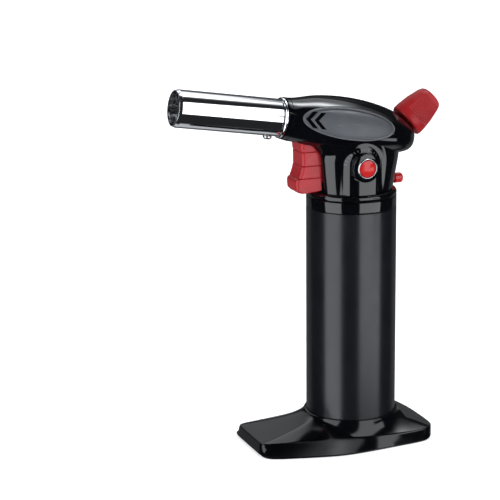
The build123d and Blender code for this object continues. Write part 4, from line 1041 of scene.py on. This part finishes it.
def build_trigger():
    """Finger piece with its grooves, and behind it the carriage, the lever's ramp and the dial's finger."""
    levels = {TRIGGER_LOW + (TRIGGER_HIGH - TRIGGER_LOW) * i / 64 for i in range(65)}
    for groove in TRIGGER_GROOVES:
        levels |= {groove + d for d in (-0.4, -0.3, -0.2, -0.1, 0.0, 0.1, 0.2, 0.3, 0.4)}
    rings = []
    for number, z in enumerate([128.9, 129.3, *sorted(levels)]):
        low = z < TRIGGER_LOW
        front = -29.3 if number == 0 else -30.4 if low else between(TRIGGER_FRONT, z)
        shares = [1 - smoothstep(0.0, GROOVE_HALF_W, abs(z - groove)) for groove in TRIGGER_GROOVES]
        sink = sum(GROOVE_DEPTH * share for share in shares)
        half = TRIGGER_HALF_W - sink - (0.3 if number == 0 else 0)
        front += sink * 0.8
        r = TRIGGER_ROUND
        section = [(TRIGGER_REAR, -half)]
        section += [(TRIGGER_REAR + (front + r - TRIGGER_REAR) * i / 8, -half) for i in range(1, 8)]
        for i in range(9):
            turn = pi / 2 * i / 8
            section.append((front + r - r * sin(turn), -half + r - r * cos(turn)))
        section += [(front, -half + r + (2 * half - 2 * r) * i / 8) for i in range(1, 8)]
        section += [(x, -y) for x, y in reversed(section[:17])]
        fade = 1 - min(1.0, max(0.0, (z - TRIGGER_LOW) / 4.0))
        slant = lambda x: -fade * (x - front) / 12.9
        top_z = lambda x: min(TRIGGER_HIGH, z + (slant(x) if not low else (x + 29.3) * 0.078 * fade))
        rings.append([Vector((x, y, top_z(x))) for x, y in section])
    body = ring_solid("trigger_grip", rings)
    ramp = lambda x: 134.4 + 0.15 + 0.24 * (x + 12.0)
    carriage = [(-19.4, 133.5), (-13.0, 135.2), (-13.0, 152.0), (-19.4, 152.0)]
    union(
        body,
        prism("carriage", carriage, lambda a, b: Vector((a, -6.3, b)), AXIS_Y, 12.6),
        prism("ramp", [(-17.6, ramp(-17.6)), (-11.3, ramp(-11.3)), (-11.3, 136.3), (-17.6, 136.3)],
              lambda a, b: Vector((a, -3, b)), AXIS_Y, 6),
        block("finger_root", (-15.4, -7.6, DIAL_Z - 2.7), (-13.0, -4.8, DIAL_Z + 2.7)),
        block("finger", (-13.7, -7.6, DIAL_Z - 2.7), (-5.5, -6.3, DIAL_Z + 2.7)),
    )
    cut(body, rod("notch", Vector((DIAL_X - 5.0, -10, DIAL_Z)), AXIS_Y, 1.7, 5, 48))
    sharpen(body, 36)
    return finish_piece(body, trigger_red, "trigger", "trigger", slot="trigger_red")


build_trigger()

# ---- springs


def coil(name, start, along, radius, wire, length, turns):
    """Compression spring with one closed turn at each end; wire is the radius of the wire."""
    steps, sides = 28, 10
    across = across_from(along)
    side = along.cross(across)
    closed, free = 2.05 * wire, length - 2 * wire
    section = [(wire * cos(t), wire * sin(t)) for t in circle(sides)]
    rings = []
    for i in range(turns * steps + 1):
        turn = i / steps
        if turn < 1:
            h = closed * turn
        elif turn > turns - 1:
            h = free - closed * (turns - turn)
        else:
            h = closed + (free - 2 * closed) * (turn - 1) / (turns - 2)
        angle = 2 * pi * turn
        spoke = across * cos(angle) + side * sin(angle)
        rings.append([start + along * (wire + h + b) + spoke * (radius + a) for a, b in section])
    return ring_solid(name, rings)


def spring(node, start, along, radius, wire, length, turns):
    obj = coil(f"{node}_coil", start, along, radius, wire, length, turns)
    sharpen(obj, 60)
    finish_piece(obj, steel, "torch", node, slot="steel")
    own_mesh(obj)


spring("trigger_spring", Vector((-12.9, 0, 147.5)), ALONG_X, 2.4, 0.3, 12.0, 9)
spring("outlet_valve_spring", Vector((0, 0, 111.55)), UP, 2.2, 0.25, 9.4, 9)
spring("button_spring", DIAL_0 - AXIS_Y * 21.15, AXIS_Y, 2.9, 0.3, 9.0, 8)
spring("safety_spring", Vector((10.9, 0, PIN_Z)), ALONG_X, 2.2, 0.3, 5.6, 5)
spring("fill_valve_spring", Vector((0, 0, 9.55)), UP, 1.7, 0.3, 6.2, 6)


# ---- camera, floor, light
AIM = Vector((-54.009, 0, 101.759)) * 0.001
AZIMUTH, ELEVATION, ROLL = radians(-20.81), radians(14.42), radians(-0.51)
DISTANCE = 1.00419
back = Vector((sin(AZIMUTH) * cos(ELEVATION), -cos(AZIMUTH) * cos(ELEVATION), sin(ELEVATION)))
right = Vector((cos(AZIMUTH), sin(AZIMUTH), 0))
up = back.cross(right)
view_x = right * cos(ROLL) + up * sin(ROLL)
view_y = up * cos(ROLL) - right * sin(ROLL)
lens = bpy.data.cameras.new("camera")
lens.lens = 147.5
lens.sensor_width = 36.0
lens.clip_start = 0.05
lens.clip_end = 50.0
camera = bpy.data.objects.new("camera", lens)
turn = Matrix((view_x, view_y, back)).transposed().to_4x4()
camera.matrix_world = Matrix.Translation(AIM + back * DISTANCE) @ turn
in_scene(camera)
bpy.context.scene.camera = camera

floor_paint = Nodes("floor", (0.86, 0.86, 0.865), 0.9)
floor_paint.shader.inputs["Emission Color"].default_value = (1, 1, 1, 1)
floor_paint.shader.inputs["Emission Strength"].default_value = 0.62
floor_mesh = bpy.data.meshes.new("floor")
floor_mesh.from_pydata([(-9, -9, 0), (9, -9, 0), (9, 9, 0), (-9, 9, 0)], [], [(0, 1, 2, 3)])
floor = bpy.data.objects.new("floor", floor_mesh)
floor_mesh.materials.append(floor_paint.material)
floor.visible_glossy = False  # so that the gloss shows the panels of the sky and no grey floor
in_scene(floor)


def world_light():
    """Studio as a sky of soft panels placed by direction, and a plain backdrop for the camera's own rays."""
    bright, faint, dark, below_strength, backdrop_strength = 3.0, 0.15, 0.02, 0.50, 0.95
    panel_soft = 2.0
    world = bpy.data.worlds.new("studio")
    bpy.context.scene.world = world
    world.use_nodes = True
    tree = world.node_tree
    shade = next(n for n in tree.nodes if n.type == "BACKGROUND")
    coord = tree.nodes.new("ShaderNodeTexCoord").outputs["Generated"]

    def dot(vector):
        node = tree.nodes.new("ShaderNodeVectorMath")
        node.operation = "DOT_PRODUCT"
        tree.links.new(coord, node.inputs[0])
        node.inputs[1].default_value = vector
        return node.outputs["Value"]

    def op(kind, a, b=None):
        return math_node(tree, kind, a, b)

    def ramp(value, low, high):
        node = tree.nodes.new("ShaderNodeMapRange")
        node.interpolation_type = "SMOOTHSTEP"
        node.inputs["From Min"].default_value = low
        node.inputs["From Max"].default_value = high
        tree.links.new(value, node.inputs["Value"])
        return node.outputs["Result"]

    def band(value, low, high, soft):
        falling = ramp(op("MULTIPLY", value, -1.0), -high - soft, -high + soft)
        return op("MULTIPLY", ramp(value, low - soft, low + soft), falling)

    # psi turns to the right from the camera's side and el rises from the horizon, both in degrees.
    facing = Vector((-back.x, -back.y, 0)).normalized() * -1
    psi = op("MULTIPLY", op("ARCTAN2", dot(right), dot(facing)), 180 / pi)
    el = op("MULTIPLY", op("ARCSINE", dot(UP)), 180 / pi)
    x_way, y_way = dot(ALONG_X), dot(AXIS_Y)
    away = dot(facing * -1)
    below = op("MULTIPLY", ramp(op("MULTIPLY", el, -1.0), 44.0, 60.0), ramp(away, -0.05, 0.15))
    total = op("ADD", op("MULTIPLY", below, below_strength), dark)

    for strength, psi_low, psi_high, el_low, el_high in (
        (bright, -72.0, -28.0, -11.0, 42.0),
        (bright, -72.0, -28.0, -42.0, -11.0),
        (bright, 19.0, 76.0, 12.0, 42.0),
        (bright, 19.0, 53.0, -5.0, 12.0),
        (bright, 19.0, 76.0, -21.0, -5.0),
        (faint, 125.0, 182.0, -40.0, 0.0),
        (faint, -182.0, -125.0, -40.0, 0.0),
    ):
        across, upwards = band(psi, psi_low, psi_high, panel_soft), band(el, el_low, el_high, panel_soft)
        total = op("ADD", total, op("MULTIPLY", op("MULTIPLY", across, upwards), strength))
    # Overhead panel, the glow behind the torch, and the small lamp over its head.
    over = op("MULTIPLY", ramp(el, 63.0, 67.0), band(x_way, 0.22, 0.6, 0.03))
    total = op("ADD", total, op("MULTIPLY", over, 1.3))
    leftwards = ramp(op("MULTIPLY", x_way, -1.0), -0.33, -0.27)
    low = op("MULTIPLY", ramp(el, 12.0, 24.0), op("ADD", op("MULTIPLY", leftwards, 0.42), 0.10))
    behind = op("ADD", low, op("MULTIPLY", ramp(el, 33.0, 40.0), 1.05))
    behind = op("MULTIPLY", behind, ramp(away, 0.40, 0.62))
    fade = op("ADD", op("MULTIPLY", ramp(x_way, 0.48, 0.58), -0.8), 1.0)
    total = op("ADD", total, op("MULTIPLY", behind, fade))
    dx = op("DIVIDE", op("SUBTRACT", x_way, 0.30), 0.20)
    dy = op("DIVIDE", op("SUBTRACT", y_way, 0.20), 0.15)
    far = op("ADD", op("POWER", dx, 2.0), op("POWER", dy, 2.0))
    core = op("MULTIPLY", op("EXPONENT", op("MULTIPLY", far, -1.0)), ramp(el, 0.0, 20.0))
    total = op("ADD", total, op("MULTIPLY", core, 14.0))
    seen = tree.nodes.new("ShaderNodeLightPath").outputs["Is Camera Ray"]
    backdrop = tree.nodes.new("ShaderNodeMix")
    tree.links.new(seen, backdrop.inputs[0])
    tree.links.new(total, backdrop.inputs[2])
    backdrop.inputs[3].default_value = backdrop_strength
    tree.links.new(backdrop.outputs[0], shade.inputs["Strength"])
    shade.inputs["Color"].default_value = (0.93, 0.965, 1.0, 1)


world_light()
bpy.context.scene.view_settings.view_transform = "Standard"
